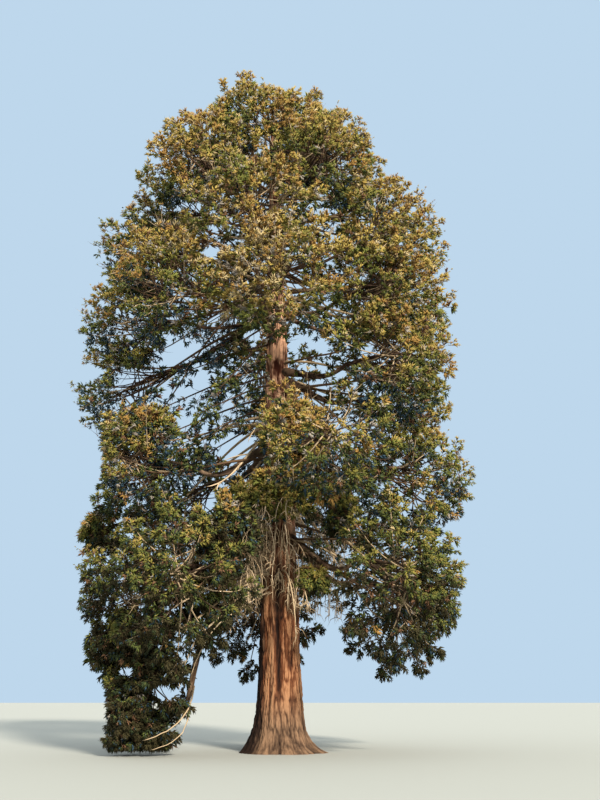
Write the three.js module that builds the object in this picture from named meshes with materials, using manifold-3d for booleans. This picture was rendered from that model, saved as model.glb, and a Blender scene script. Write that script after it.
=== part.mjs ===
// A giant sequoia: a fluted trunk with a root flare, drooping boughs low down and rising stems above, and rounded
// masses of foliage whose sprays stand out of a dense heart.
// Millimetres. +Z is up, -Y is the side it is looked at from, +X is to the right there. The origin is the
// centre of the flat cut under the trunk, at ground level. Angles are in degrees, turned from +X towards +Y.

import * as THREE from "three";
import { mergeVertices } from "three/addons/utils/BufferGeometryUtils.js";
import Module from "manifold-3d";

const wasm = await Module();
wasm.setup();

// Trunk: it tapers towards TAPER_END and comes to its tip at TRUNK_TOP, in among the highest masses.
const TRUNK_TOP = 25200;
const TAPER_END = 27400;
const TAPER_POWER = 0.85;
const STEM_RADIUS = 770;
const LEAN = 480; // how far the top stands to the left of the foot
const LEAN_POWER = 1.3;
const TRUNK_SIDES = 24;
const TRUNK_RINGS = [0, 130, 320, 580, 920, 1500, 2600, 4600, 8000, 12500, 17500, 22500, 24600];
const SWELL = { spread: 170, fall: 800 };
const FLUTES = { count: 7, depth: 0.03 };
// Buttress roots: how far each one spreads at the ground, how soon it dies out upwards, and its half width.
const BUTTRESSES = [
  { azimuth: 354, spread: 640, fall: 290, width: 30 },
  { azimuth: 186, spread: 400, fall: 560, width: 34 },
  { azimuth: 238, spread: 300, fall: 420, width: 26 },
  { azimuth: 300, spread: 360, fall: 380, width: 28 },
  { azimuth: 62, spread: 340, fall: 420, width: 30 },
  { azimuth: 122, spread: 380, fall: 400, width: 30 },
];

// Crown: half its width at each height, widest at WIDEST_HEIGHT.
const CROWN_TOP = 26500;
const WIDEST_RADIUS = 7550;
const WIDEST_HEIGHT = 14500;
const UPPER_CURVE = 2.1;
const UPPER_ROUNDNESS = 0.58;
const UNDER_TAPER = 0.07;

// Tiers of foliage from the ground up, with a mass at each azimuth. Height is where they touch the crown's
// outside. Half is a mass's half sizes inwards from there, round the tree and up the crown's slope, before its
// neighbours take their share.
const TIERS = [
  { name: "skirt", height: 5300, half: [2100, 2700, 2700], azimuths: [186, 235, 325, 30, 100] },
  { name: "low", height: 9300, half: [2300, 2900, 2300], azimuths: [203, 288, 350, 60, 136] },
  { name: "middle", height: 12600, half: [2300, 2900, 2300], azimuths: [181, 322, 22, 90] },
  { name: "broad", height: 15800, half: [2500, 2900, 2400], azimuths: [180, 225, 272, 322, 20, 100] },
  { name: "high", height: 18900, half: [2500, 3100, 2400], azimuths: [190, 260, 330, 42, 116] },
  { name: "shoulder", height: 21900, half: [2300, 2900, 2200], azimuths: [168, 226, 298, 10, 92] },
  { name: "crest", height: 24500, half: [1900, 2400, 1900], azimuths: [204, 282, 2, 104] },
];
// The masses of these tiers are carried by boughs. The others grow from the trunk by a stem of their own.
const BOUGH_TIERS = ["skirt", "low", "middle"];
// How much masses of one tier differ: in size, in height (as a share of their own) and in reach.
const SIZE_SPREAD = 0.1;
const HEIGHT_SPREAD = 0.2;
const REACH_SPREAD = 0.05;
const REACH_LEAST = 0.985;
const TOP_MASS = { azimuth: 222, radius: 1150, height: 25100, half: [1950, 2100, 1450] };
// One tuft hangs low beside the trunk, under the tier above it.
const LOW_TUFT = { azimuth: 246, radius: 4100, height: 6700, half: [1300, 1300, 1250] };
// A bough hangs to the ground on the left and ends in a mass that lies on it.
const GROUND_MASS = { azimuth: 199, radius: 4900, height: 1430, half: [1500, 1500, 1390] };
const GROUND_BOUGH = {
  attach: 7900,
  bows: [
    { radius: 1500, height: 7600 },
    { radius: 2700, height: 4300 },
  ],
  elbow: { radius: 3050, height: 2300 },
  knee: 900,
  dip: 120,
  level: 420,
  radii: [135, 92, 55],
};

// Limbs and stems. Low ones leave the trunk above their mass and droop to it; high ones climb to it. A limb
// bows: it leaves the trunk level, sags, and comes up into its mass.
const DROOP_LOW = 1900;
const CLIMB_HIGH = 1200;
const HIGHEST_STEM = 24200;
const SAG_LOW = 900;
const SAG_HIGH = 250;
const SAG_LIMIT = 0.3; // of the limb's run
const BOW_START = { run: 0.4, fall: 0.25 };
const BOW_END_RUN = 0.35;
const BOUGH_RADII = [150, 62];
const STEM_ROOT_RADIUS = 105;
const STEM_TIP_RADIUS = 26;
const HIGH_STEM_SHARE = 0.62; // how thick the highest stems are beside the lowest
const STEM_ARCH = 0.08;
const BOUGH_PIECES = 5;
const STEM_PIECES = 2;
const BOUGH_SIDES = 6;
const STEM_SIDES = 4;
const KEEP_OUT_SIDES = 4;
const ENTRY_SHARE = 0.8; // where a bough ends, as a share of the way from the mass's centre to its edge
const STEM_END_SHARE = 0.4;

// What a mass is made of. Shares are of the way from the mass's centre to the edge of its own space.
const CORE_SHARE = 0.79;
const CORE_LUMP = 0.14;
const TWIGS = 4;
const TWIG_SHARE = 0.84;
const TWIG_RADIUS = 60;
const SPRAYS_ON_TWIG = 2;
const SPRAY_FAN = 37; // how far a twig's sprays turn away from it to either side
const SPRAY_ROOT_SHARE = 0.5;
const SPRAY_TIP_SHARE = 0.985;
const SPRAY_WIDTH = 0.74; // of a spray's length
const SPRAY_THICKNESS = 0.13;
const SPRAY_RIDGE = 0.5; // how far along a spray its ridge point stands
const SPRAY_LIFT = 0.16; // how much sprays turn up
const SPRAY_ROLL = 120; // how far they may roll about their own length, in all
const GOLDEN_ANGLE = 137.508;
const POLE_REACH = 1.72; // how far round from the outward end the twigs spread, 2 being all round

// Dead twigs hang bare round the trunk under the crown, from a stem that bends down.
const DEAD_TWIGS = [
  { name: "dead_twigs_left", azimuth: 232, attach: 9000, reach: 1500, drop: 1500 },
  { name: "dead_twigs_right", azimuth: 300, attach: 8700, reach: 1500, drop: 1300 },
];
const DEAD_STEM = { radii: [70, 30], pieces: 5, bow: [0.7, 0.5] };
const DEAD_TWIG = { count: 9, from: 0.66, length: 2300, spread: 700, radii: [34, 24, 15] };
const DEAD_TWIG_BELLY = { at: 0.45, depth: 0.16 };

// Gaps
const TOUCH = 0.3; // between pieces that meet
const MASS_GAP = 40; // between the spaces of two masses
const LIMB_CLEARANCE = 25; // between foliage and the limbs that pass it
const GROUND_CLEARANCE = 30;
const SKIP_CLEARANCE = 50; // sprays nearer than this to a limb are left out

const BARK = new THREE.MeshStandardMaterial({ color: 0x8a5a3c, roughness: 0.95, metalness: 0 });
const LIMB_BARK = new THREE.MeshStandardMaterial({ color: 0x9a8672, roughness: 0.9, metalness: 0 });
const FOLIAGE = new THREE.MeshStandardMaterial({ color: 0x6a6a34, roughness: 0.85, metalness: 0 });
const DEAD_WOOD = new THREE.MeshStandardMaterial({ color: 0xa3937a, roughness: 0.9, metalness: 0 });

const UP = new THREE.Vector3(0, 0, 1);
const SLOPE_STEP = 50; // up and down from a height, to measure the crown's slope there
const radians = THREE.MathUtils.degToRad;
const { lerp } = THREE.MathUtils;

// A number from 0 to 1 that is always the same for the same pair.
function scatter(i, j) {
  const wave = Math.sin(i * 127.1 + j * 311.7) * 43758.5453;
  return wave - Math.floor(wave);
}

// The shortest turn between two azimuths, in degrees.
function turnBetween(a, b) {
  return Math.abs(((((a - b) % 360) + 540) % 360) - 180);
}

function outward(azimuth) {
  return new THREE.Vector3(Math.cos(radians(azimuth)), Math.sin(radians(azimuth)), 0);
}

function axisAt(z) {
  return new THREE.Vector3(-LEAN * Math.pow(Math.max(z, 0) / TRUNK_TOP, LEAN_POWER), 0, z);
}

function trunkRadius(azimuth, z) {
  const taper = STEM_RADIUS * Math.pow(1 - z / TAPER_END, TAPER_POWER);
  const flute = 1 + FLUTES.depth * Math.cos(radians(azimuth * FLUTES.count));
  const roots = BUTTRESSES.map(
    (b) => b.spread * Math.exp(-z / b.fall) * Math.exp(-((turnBetween(azimuth, b.azimuth) / b.width) ** 2)),
  );
  return taper * flute + SWELL.spread * Math.exp(-z / SWELL.fall) + roots.reduce((sum, r) => sum + r, 0);
}

function crownRadius(z) {
  if (z < WIDEST_HEIGHT) {
    const below = (WIDEST_HEIGHT - z) / WIDEST_HEIGHT;
    return WIDEST_RADIUS * (1 - UNDER_TAPER * Math.sin((below * Math.PI) / 2));
  }
  const share = (z - WIDEST_HEIGHT) / (CROWN_TOP - WIDEST_HEIGHT);
  return WIDEST_RADIUS * Math.pow(Math.max(1 - Math.pow(share, UPPER_CURVE), 0), UPPER_ROUNDNESS);
}

// How far up the crown a height is, from 0 in the lowest tier to 1 in the highest.
function crownShare(z) {
  return THREE.MathUtils.clamp((z - TIERS[0].height) / (TIERS.at(-1).height - TIERS[0].height), 0, 1);
}

// Solids

function bare(geometry) {
  geometry.deleteAttribute("normal");
  geometry.deleteAttribute("uv");
  return geometry;
}

function solidOf(geometry) {
  const merged = mergeVertices(bare(geometry), 1e-3);
  return new wasm.Manifold(
    new wasm.Mesh({
      numProp: 3,
      vertProperties: new Float32Array(merged.attributes.position.array),
      triVerts: new Uint32Array(merged.index.array),
    }),
  );
}

function geometryOf(solid) {
  const mesh = solid.getMesh();
  return new THREE.BufferGeometry()
    .setAttribute("position", new THREE.BufferAttribute(new Float32Array(mesh.vertProperties), 3))
    .setIndex(new THREE.BufferAttribute(new Uint32Array(mesh.triVerts), 1));
}

function indexed(points, faces) {
  return new THREE.BufferGeometry()
    .setAttribute("position", new THREE.Float32BufferAttribute(points.flatMap((p) => [p.x, p.y, p.z]), 3))
    .setIndex(faces.flat());
}

// A closed skin over rings of equal numbers of points. A last ring of one point is a tip.
function skin(rings) {
  const sides = rings[0].length;
  const faces = [];
  const start = (ring) => ring * sides;
  for (let ring = 0; ring + 1 < rings.length; ring++) {
    for (let i = 0; i < sides; i++) {
      const j = (i + 1) % sides;
      const [a, b] = [start(ring) + i, start(ring) + j];
      if (rings[ring + 1].length === 1) {
        faces.push([a, b, start(ring + 1)]);
      } else {
        const [c, d] = [start(ring + 1) + i, start(ring + 1) + j];
        faces.push([a, b, d], [a, d, c]);
      }
    }
  }
  for (let i = 1; i + 1 < sides; i++) faces.push([0, i + 1, i]);
  if (rings.at(-1).length > 1) {
    const last = start(rings.length - 1);
    for (let i = 1; i + 1 < sides; i++) faces.push([last, last + i, last + i + 1]);
  }
  return indexed(rings.flat(), faces);
}

// A round limb along a line of points, with a radius at each point.
function limbGeometry(points, radii, sides) {
  const curve = new THREE.CatmullRomCurve3(points, false, "centripetal");
  const frames = curve.computeFrenetFrames(points.length - 1, false);
  const tangents = points.map((point, i) =>
    points[Math.min(i + 1, points.length - 1)].clone().sub(points[Math.max(i - 1, 0)]).normalize(),
  );
  const rings = points.map((point, i) => {
    const lean = frames.normals[i].dot(tangents[i]);
    const across = frames.normals[i].clone().addScaledVector(tangents[i], -lean).normalize();
    const over = new THREE.Vector3().crossVectors(tangents[i], across);
    return Array.from({ length: sides }, (unused, k) => {
      const angle = (k / sides) * 2 * Math.PI;
      return point
        .clone()
        .addScaledVector(across, radii[i] * Math.cos(angle))
        .addScaledVector(over, radii[i] * Math.sin(angle));
    });
  });
  return skin(rings);
}

function trunkGeometry(extra) {
  const rings = TRUNK_RINGS.map((z) => {
    const centre = axisAt(z);
    return Array.from({ length: TRUNK_SIDES }, (unused, k) => {
      const azimuth = (k / TRUNK_SIDES) * 360;
      return centre.clone().addScaledVector(outward(azimuth), trunkRadius(azimuth, z) + extra);
    });
  });
  const tip = axisAt(TRUNK_TOP).addScaledVector(UP, extra);
  return skin([...rings, [tip]]);
}

// A straight twig of three sides that runs out to a point.
function twigGeometry(from, to, radius) {
  const along = to.clone().sub(from).normalize();
  const reference = Math.abs(along.z) > 0.9 ? outward(0) : UP;
  const across = new THREE.Vector3().crossVectors(along, reference).normalize();
  const over = new THREE.Vector3().crossVectors(along, across);
  const ring = [0, 1, 2].map((k) =>
    from
      .clone()
      .addScaledVector(across, radius * Math.cos(radians(120 * k)))
      .addScaledVector(over, radius * Math.sin(radians(120 * k))),
  );
  return skin([ring, [to]]);
}

// The outline of a spray of needles: along its length and across it, as shares. Its teeth point forward. The
// blade is flat below and rises to a ridge point above its middle.
const SPRAY_OUTLINE = [
  [0, 0],
  [0.68, -0.5],
  [0.66, -0.2],
  [1, 0],
  [0.66, 0.2],
  [0.68, 0.5],
];

const SPRAY_UNDERSIDE = THREE.ShapeUtils.triangulateShape(
  SPRAY_OUTLINE.map(([u, v]) => new THREE.Vector2(u, v)),
  [],
).map(([a, b, c]) => [a, c, b]);

function sprayGeometry({ root, along, over, outline }) {
  const ridge = root.clone().addScaledVector(along, SPRAY_RIDGE).add(over);
  const top = SPRAY_OUTLINE.map((unused, i) => [i, (i + 1) % SPRAY_OUTLINE.length, SPRAY_OUTLINE.length]);
  return indexed([...outline, ridge], [...top, ...SPRAY_UNDERSIDE]);
}

// Limbs

function bezierPoints(from, leave, arrive, to, pieces) {
  return new THREE.CubicBezierCurve3(from, leave, arrive, to).getPoints(pieces);
}

function taperedRadii(points, first, last) {
  return points.map((point, i) => lerp(first, last, i / (points.length - 1)));
}

const trunk = solidOf(trunkGeometry(0));
const trunkTouch = solidOf(trunkGeometry(TOUCH));
const trunkKeepOut = solidOf(trunkGeometry(LIMB_CLEARANCE));

// A limb, with the space that foliage keeps clear round it. One on the trunk starts at the trunk's axis and is
// cut off at the bark.
function limb(name, points, radii, sides, onTrunk) {
  const whole = solidOf(limbGeometry(points, radii, sides));
  const solid = onTrunk ? largest(whole.subtract(trunkTouch)) : whole;
  const wide = radii.map((r) => (r + LIMB_CLEARANCE) / Math.cos(Math.PI / KEEP_OUT_SIDES));
  const onwards = points.at(-1).clone().sub(points.at(-2)).setLength(LIMB_CLEARANCE);
  const longer = [...points.slice(0, -1), points.at(-1).clone().add(onwards)];
  return { name, points, radii, solid, keepOut: solidOf(limbGeometry(longer, wide, KEEP_OUT_SIDES)) };
}

function largest(solid) {
  const pieces = solid.decompose();
  return pieces.reduce((best, piece) => (piece.volume() > best.volume() ? piece : best));
}

// Masses: each has a centre, three half sizes along its own axes, and a seed. Lean turns its outward axis up.

function massAt({ name, seed, azimuth, centre, lean = 0, half, boughName = null }) {
  const out = outward(azimuth).multiplyScalar(Math.cos(lean)).addScaledVector(UP, Math.sin(lean));
  const side = outward(azimuth + 90);
  const rise = new THREE.Vector3().crossVectors(out, side);
  return { name, seed, azimuth, centre, axes: [out, side, rise], half, boughName };
}

function tierMasses(tier, level) {
  const [below, above] = [-SLOPE_STEP, SLOPE_STEP].map((step) => crownRadius(tier.height + step));
  const lean = Math.atan((below - above) / (2 * SLOPE_STEP));
  return tier.azimuths.map((azimuth, i) => {
    const seed = 100 * level + i;
    const size = 1 + SIZE_SPREAD * (scatter(seed, 2) - 0.5);
    const half = tier.half.map((value) => value * size);
    const height = tier.height + HEIGHT_SPREAD * tier.half[2] * (scatter(seed, 3) - 0.5);
    const reach = crownRadius(tier.height) * (REACH_LEAST + REACH_SPREAD * scatter(seed, 4));
    const centre = axisAt(height)
      .addScaledVector(outward(azimuth), reach - half[0] * Math.cos(lean))
      .addScaledVector(UP, -half[0] * Math.sin(lean));
    const name = `foliage_${tier.name}_${i + 1}`;
    const boughName = BOUGH_TIERS.includes(tier.name) ? `bough_${tier.name}_${i + 1}` : null;
    return massAt({ name, seed, azimuth, centre, lean, half, boughName });
  });
}

function singleMass(name, seed, { azimuth, radius, height, half }) {
  const centre = axisAt(height).addScaledVector(outward(azimuth), radius);
  return massAt({ name, seed, azimuth, centre, half });
}

const groundMass = singleMass("foliage_ground_left", 903, GROUND_MASS);
const masses = [
  ...TIERS.flatMap(tierMasses),
  singleMass("foliage_top", 901, TOP_MASS),
  singleMass("foliage_low_tuft", 902, LOW_TUFT),
  groundMass,
];

// How far a mass reaches from its centre along a direction.
function halfAlong(mass, direction) {
  return Math.hypot(...mass.axes.map((axis, k) => mass.half[k] * axis.dot(direction)));
}

// Neighbours share the ground between them by a plane, so each mass keeps to a space of its own.
for (const mass of masses) {
  mass.walls = masses
    .filter((other) => other !== mass)
    .map((other) => {
      const normal = other.centre.clone().sub(mass.centre);
      const distance = normal.length();
      normal.divideScalar(distance);
      const [mine, theirs] = [halfAlong(mass, normal), halfAlong(other, normal)];
      const limit = (distance * mine) / (mine + theirs) - MASS_GAP / 2;
      return { normal, limit, near: distance < mine + theirs };
    })
    .filter((wall) => wall.near);
}

function reachAlong(mass, direction) {
  const round = 1 / Math.hypot(...mass.axes.map((axis, k) => axis.dot(direction) / mass.half[k]));
  const walls = mass.walls.map((wall) => {
    const facing = wall.normal.dot(direction);
    return facing > 1e-6 ? wall.limit / facing : Infinity;
  });
  const ground = direction.z < 0 ? (mass.centre.z - GROUND_CLEARANCE) / -direction.z : Infinity;
  return Math.min(round, ground, ...walls);
}

// 1 on the edge of the mass's own space, and less inside it.
function depthIn(mass, point) {
  const offset = point.clone().sub(mass.centre);
  const distance = offset.length();
  return distance < 1 ? 0 : distance / reachAlong(mass, offset.divideScalar(distance));
}

// The line that carries a mass, from the trunk's axis to where it enters the mass, and on past its middle.
function supportOf(mass) {
  const out = outward(mass.azimuth);
  const share = crownShare(mass.centre.z);
  const root = axisAt(Math.min(mass.centre.z + lerp(DROOP_LOW, -CLIMB_HIGH, share), HIGHEST_STEM));
  const inwards = root.clone().sub(mass.centre).normalize();
  const entry = mass.centre.clone().addScaledVector(inwards, reachAlong(mass, inwards) * ENTRY_SHARE);
  const run = Math.hypot(entry.x - root.x, entry.y - root.y);
  const sag = Math.min(lerp(SAG_LOW, SAG_HIGH, share), SAG_LIMIT * run);
  const leave = root.clone().addScaledVector(out, run * BOW_START.run);
  leave.z += BOW_START.fall * (entry.z - root.z);
  const arrive = entry.clone().addScaledVector(out, -run * BOW_END_RUN);
  arrive.z -= sag;
  const end = mass.centre.clone().addScaledVector(mass.axes[0], mass.half[0] * STEM_END_SHARE);
  return { root, leave, arrive, entry, end };
}

function headingOf(points) {
  return points.at(-1).clone().sub(points.at(-2)).normalize();
}

// A stem that goes on from a limb's tip, square to it at first, to its end inside a mass.
function stemFrom(mass, points, radius, end) {
  const towards = headingOf(points);
  const start = points.at(-1).clone().addScaledVector(towards, TOUCH);
  const middle = start.clone().lerp(end, 0.5).addScaledVector(towards, STEM_ARCH * start.distanceTo(end));
  const line = [start, start.clone().addScaledVector(towards, STEM_ROOT_RADIUS), middle, end];
  return limb(mass.name, line, taperedRadii(line, radius, STEM_TIP_RADIUS), STEM_SIDES, false);
}

const boughs = [];

function carryMass(mass) {
  const { root, leave, arrive, entry, end } = supportOf(mass);
  if (mass.boughName) {
    const points = bezierPoints(root, leave, arrive, entry, BOUGH_PIECES);
    boughs.push(limb(mass.boughName, points, taperedRadii(points, ...BOUGH_RADII), BOUGH_SIDES, true));
    mass.stem = stemFrom(mass, points, BOUGH_RADII[1], end);
  } else {
    const points = [...bezierPoints(root, leave, arrive, entry, STEM_PIECES), end];
    const thick = lerp(1, HIGH_STEM_SHARE, crownShare(mass.centre.z)) * STEM_ROOT_RADIUS;
    mass.stem = limb(mass.name, points, taperedRadii(points, thick, STEM_TIP_RADIUS), STEM_SIDES, true);
  }
}

// The bough that hangs to the ground is two limbs, which meet at its elbow.
function carryGroundMass(mass) {
  const out = mass.axes[0];
  const at = ({ radius, height }) => axisAt(height).addScaledVector(out, radius);
  const { attach, bows, elbow, knee, dip, level, radii } = GROUND_BOUGH;
  const { radius, height, half } = GROUND_MASS;
  const upper = bezierPoints(axisAt(attach), at(bows[0]), at(bows[1]), at(elbow), BOUGH_PIECES);
  boughs.push(limb("bough_ground_upper", upper, taperedRadii(upper, radii[0], radii[1]), BOUGH_SIDES, true));
  const fall = headingOf(upper);
  const joint = upper.at(-1).clone().addScaledVector(fall, TOUCH);
  const square = joint.clone().addScaledVector(fall, radii[1]);
  const entry = at({ radius: radius - ENTRY_SHARE * half[0], height: height - dip });
  const down = joint.clone().addScaledVector(fall, knee);
  const inwards = entry.clone().addScaledVector(out, -level);
  const lower = [joint, ...bezierPoints(square, down, inwards, entry, BOUGH_PIECES - 1)];
  boughs.push(limb("bough_ground_lower", lower, taperedRadii(lower, radii[1], radii[2]), BOUGH_SIDES, false));
  const end = mass.centre.clone().addScaledVector(out, half[0] * STEM_END_SHARE);
  mass.stem = stemFrom(mass, lower, radii[2], end);
}

for (const mass of masses) {
  if (mass === groundMass) carryGroundMass(mass);
  else carryMass(mass);
}

// Dead twigs

function deadTwigs({ name, azimuth, attach, reach, drop }, group) {
  const at = (run, fall) => axisAt(attach).addScaledVector(outward(azimuth), run).addScaledVector(UP, -fall);
  const [level, plunge] = DEAD_STEM.bow;
  const turns = [at(0, 0), at(level * reach, 0), at(reach, plunge * drop), at(reach, drop)];
  const line = bezierPoints(...turns, DEAD_STEM.pieces);
  const stem = limb(name, line, taperedRadii(line, ...DEAD_STEM.radii), STEM_SIDES, true);
  const curve = new THREE.CatmullRomCurve3(line);
  let twigs = stem.solid;
  for (let k = 0; k < DEAD_TWIG.count; k++) {
    const seed = 700 + 50 * group + k;
    const from = curve.getPoint(lerp(DEAD_TWIG.from, 1, (k + 0.5) / DEAD_TWIG.count));
    const swing = outward(360 * scatter(seed, 1));
    const length = DEAD_TWIG.length * (0.5 + 0.5 * scatter(seed, 2));
    const to = from.clone().addScaledVector(swing, DEAD_TWIG.spread * (0.5 + 0.5 * scatter(seed, 3)));
    to.addScaledVector(UP, -length);
    const belly = from.clone().lerp(to, DEAD_TWIG_BELLY.at).addScaledVector(swing, DEAD_TWIG_BELLY.depth * length);
    const points = [from, belly, to];
    if (clearOf(points, stem)) twigs = twigs.add(solidOf(limbGeometry(points, DEAD_TWIG.radii, 3)));
  }
  for (const other of allLimbs) twigs = twigs.subtract(other.keepOut);
  return { name, solid: largest(twigs) };
}

// Foliage

const allLimbs = [...boughs, ...masses.map((mass) => mass.stem)];

function distanceToLine(point, from, to) {
  const nearest = new THREE.Line3(from, to).closestPointToPoint(point, true, new THREE.Vector3());
  return nearest.distanceTo(point);
}

// Whether points keep clear of the trunk and of every limb but their own.
function clearOf(points, own) {
  return points.every((point) => {
    const axis = axisAt(point.z);
    const azimuth = THREE.MathUtils.radToDeg(Math.atan2(point.y - axis.y, point.x - axis.x));
    const fromAxis = Math.hypot(point.x - axis.x, point.y - axis.y);
    if (point.z < TRUNK_TOP && fromAxis < trunkRadius(azimuth, point.z) + SKIP_CLEARANCE) return false;
    return allLimbs.every(
      (other) =>
        other === own ||
        other.points.every(
          (end, i) =>
            i === 0 || distanceToLine(point, other.points[i - 1], end) > other.radii[i - 1] + SKIP_CLEARANCE,
        ),
    );
  });
}

// A direction from a mass's centre: directions spread evenly from its outward end round to its inner side.
function spiralDirection(mass, k, count, phase) {
  const along = 1 - (POLE_REACH * (k + 0.5)) / count;
  const across = Math.sqrt(Math.max(1 - along * along, 0));
  const angle = radians(GOLDEN_ANGLE * k + phase);
  const [out, side, up] = mass.axes;
  return new THREE.Vector3()
    .addScaledVector(out, along)
    .addScaledVector(side, across * Math.cos(angle))
    .addScaledVector(up, across * Math.sin(angle))
    .normalize();
}

function stemPoint(mass, share) {
  const points = mass.stem.points;
  return points.at(-2).clone().lerp(points.at(-1), share);
}

function twigsOf(mass) {
  return Array.from({ length: TWIGS }, (unused, k) => {
    const direction = spiralDirection(mass, k, TWIGS, 360 * scatter(mass.seed, 8));
    const tip = mass.centre.clone().addScaledVector(direction, reachAlong(mass, direction) * TWIG_SHARE);
    return { seed: 10 * mass.seed + k, direction, from: stemPoint(mass, k / TWIGS), tip };
  });
}

// The sprays of one twig turn away from it to either side, and up a little.
function spraysOf(mass, twig) {
  const fan = new THREE.Vector3()
    .crossVectors(twig.direction, UP)
    .normalize()
    .applyAxisAngle(twig.direction, Math.PI * scatter(twig.seed, 3));
  const root = twig.from.clone().lerp(twig.tip, SPRAY_ROOT_SHARE);
  return Array.from({ length: SPRAYS_ON_TWIG }, (unused, k) => {
    const turn = radians(lerp(-SPRAY_FAN, SPRAY_FAN, k / (SPRAYS_ON_TWIG - 1)));
    const aim = twig.direction.clone().multiplyScalar(Math.cos(turn)).addScaledVector(fan, Math.sin(turn));
    aim.addScaledVector(UP, SPRAY_LIFT).normalize();
    const tip = mass.centre.clone().addScaledVector(aim, reachAlong(mass, aim) * SPRAY_TIP_SHARE);
    const along = tip.sub(root);
    const length = along.length();
    const roll = radians(SPRAY_ROLL * (scatter(twig.seed, 10 + k) - 0.5));
    const across = new THREE.Vector3().crossVectors(UP, along).normalize();
    across.applyAxisAngle(along.clone().normalize(), roll);
    const over = new THREE.Vector3().crossVectors(along, across).setLength(length * SPRAY_THICKNESS);
    across.setLength(length * SPRAY_WIDTH);
    const outline = SPRAY_OUTLINE.map(([u, v]) =>
      root.clone().addScaledVector(along, u).addScaledVector(across, v),
    );
    return { root, along, over, outline };
  });
}

// The dense heart of a mass, a lumpy ball in the shape of its space.
function coreGeometry(mass) {
  const core = mergeVertices(bare(new THREE.OctahedronGeometry(1, 1)), 1e-4);
  const position = core.attributes.position;
  for (let i = 0; i < position.count; i++) {
    const direction = new THREE.Vector3().fromBufferAttribute(position, i).normalize();
    const share = CORE_SHARE + CORE_LUMP * (scatter(mass.seed, 20 + i) - 0.5);
    const point = mass.centre.clone().addScaledVector(direction, reachAlong(mass, direction) * share);
    position.setXYZ(i, point.x, point.y, point.z);
  }
  return core;
}

function foliage(mass) {
  let body = solidOf(coreGeometry(mass));
  for (const twig of twigsOf(mass)) {
    if (clearOf([twig.tip, twig.from.clone().lerp(twig.tip, 0.8)], mass.stem)) {
      body = body.add(solidOf(twigGeometry(twig.from, twig.tip, TWIG_RADIUS)));
    }
    for (const spray of spraysOf(mass, twig)) {
      const middle = spray.root.clone().addScaledVector(spray.along, SPRAY_RIDGE);
      const inside = spray.outline.every((point) => depthIn(mass, point) < 1);
      if (inside && clearOf([...spray.outline, middle], mass.stem)) {
        body = body.add(solidOf(sprayGeometry(spray)));
      }
    }
  }
  for (const other of allLimbs) {
    if (other !== mass.stem) body = body.subtract(other.keepOut);
  }
  return largest(body.subtract(trunkKeepOut).add(mass.stem.solid));
}

// The tree

const tree = new THREE.Group();
tree.name = "giant_sequoia";

function plant(name, solid, material) {
  const mesh = new THREE.Mesh(geometryOf(solid), material);
  mesh.name = name;
  tree.add(mesh);
}

plant("trunk", trunk, BARK);
for (const bough of boughs) plant(bough.name, bough.solid, LIMB_BARK);
for (const mass of masses) plant(mass.name, foliage(mass), FOLIAGE);
for (const twigs of DEAD_TWIGS.map(deadTwigs)) plant(twigs.name, twigs.solid, DEAD_WOOD);

export default tree;
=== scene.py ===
"""A giant sequoia: a furrowed red-brown trunk, drooping boughs and rounded masses of needle sprays.

Every shape is worked out in metres in the tree's own frame. +Z is up and the origin is the centre of the
flat cut under the trunk. Azimuths turn from +X towards +Y, and -Y is the side that the tree is looked at
from.
"""

import logging
import math
from collections.abc import Iterable
from dataclasses import dataclass, field
from enum import Enum

import bpy
import numpy as np
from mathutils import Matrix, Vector
from numpy.typing import NDArray


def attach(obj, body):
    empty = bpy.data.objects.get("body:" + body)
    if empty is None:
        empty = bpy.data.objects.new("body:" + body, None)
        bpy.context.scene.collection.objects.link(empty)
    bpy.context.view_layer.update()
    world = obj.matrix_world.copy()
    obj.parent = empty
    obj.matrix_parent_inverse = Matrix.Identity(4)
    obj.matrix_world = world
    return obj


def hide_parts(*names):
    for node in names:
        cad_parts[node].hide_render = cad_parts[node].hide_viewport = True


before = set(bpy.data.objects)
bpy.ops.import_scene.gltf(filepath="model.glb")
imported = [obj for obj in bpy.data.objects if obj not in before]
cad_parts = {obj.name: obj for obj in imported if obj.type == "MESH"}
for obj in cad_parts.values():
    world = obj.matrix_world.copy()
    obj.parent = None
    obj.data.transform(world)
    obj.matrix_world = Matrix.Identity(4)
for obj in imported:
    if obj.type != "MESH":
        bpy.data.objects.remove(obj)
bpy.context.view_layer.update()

log = logging.getLogger("sequoia")

Reals = NDArray[np.float64]
Whole = NDArray[np.int64]
Colour = tuple[int, int, int]
Pair = tuple[float, float]
Place = tuple[float, float, float]
Socket = bpy.types.NodeSocket

UP = np.array([0.0, 0.0, 1.0])
TURN = 2.0 * math.pi
GOLDEN_ANGLE = math.radians(137.508)
GOLDEN_SHARE = 0.618
SCATTER_WAVES = (127.1, 311.7)
SCATTER_REACH = 43758.5453
NOISE_SHIFTS = (17.0, 5.0)

# A limb that rises by more than the share STEEP counts as steep, one with more than FLAT_SIDES is shaded
# smooth, and no limb or spray runs along ASLANT.
STEEP = 0.8
FLAT_SIDES = 4
ASLANT = UP + 0.01

EYE = (0.68, -31.1, 1.7)
SUN_AZIMUTH = math.radians(-66)
SUN_HEIGHT = math.radians(26)
GROUND_MASS = "foliage_ground_left"
BODY = "root"


# Numbers and directions


def scatter(i: Reals | Whole | float, j: Reals | Whole | float) -> Reals:
    """Give a number from 0 to 1 that is always the same for the same pair.

    It is the fraction left over from a large multiple of a sine of the pair.

    Args:
        i: First number of the pair, or an array of them.
        j: Second number of the pair, or an array of them.

    Returns:
        The numbers, in the shape that the pair makes together.
    """
    wave = np.sin(np.asarray(i) * SCATTER_WAVES[0] + np.asarray(j) * SCATTER_WAVES[1]) * SCATTER_REACH
    return wave - np.floor(wave)


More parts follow.
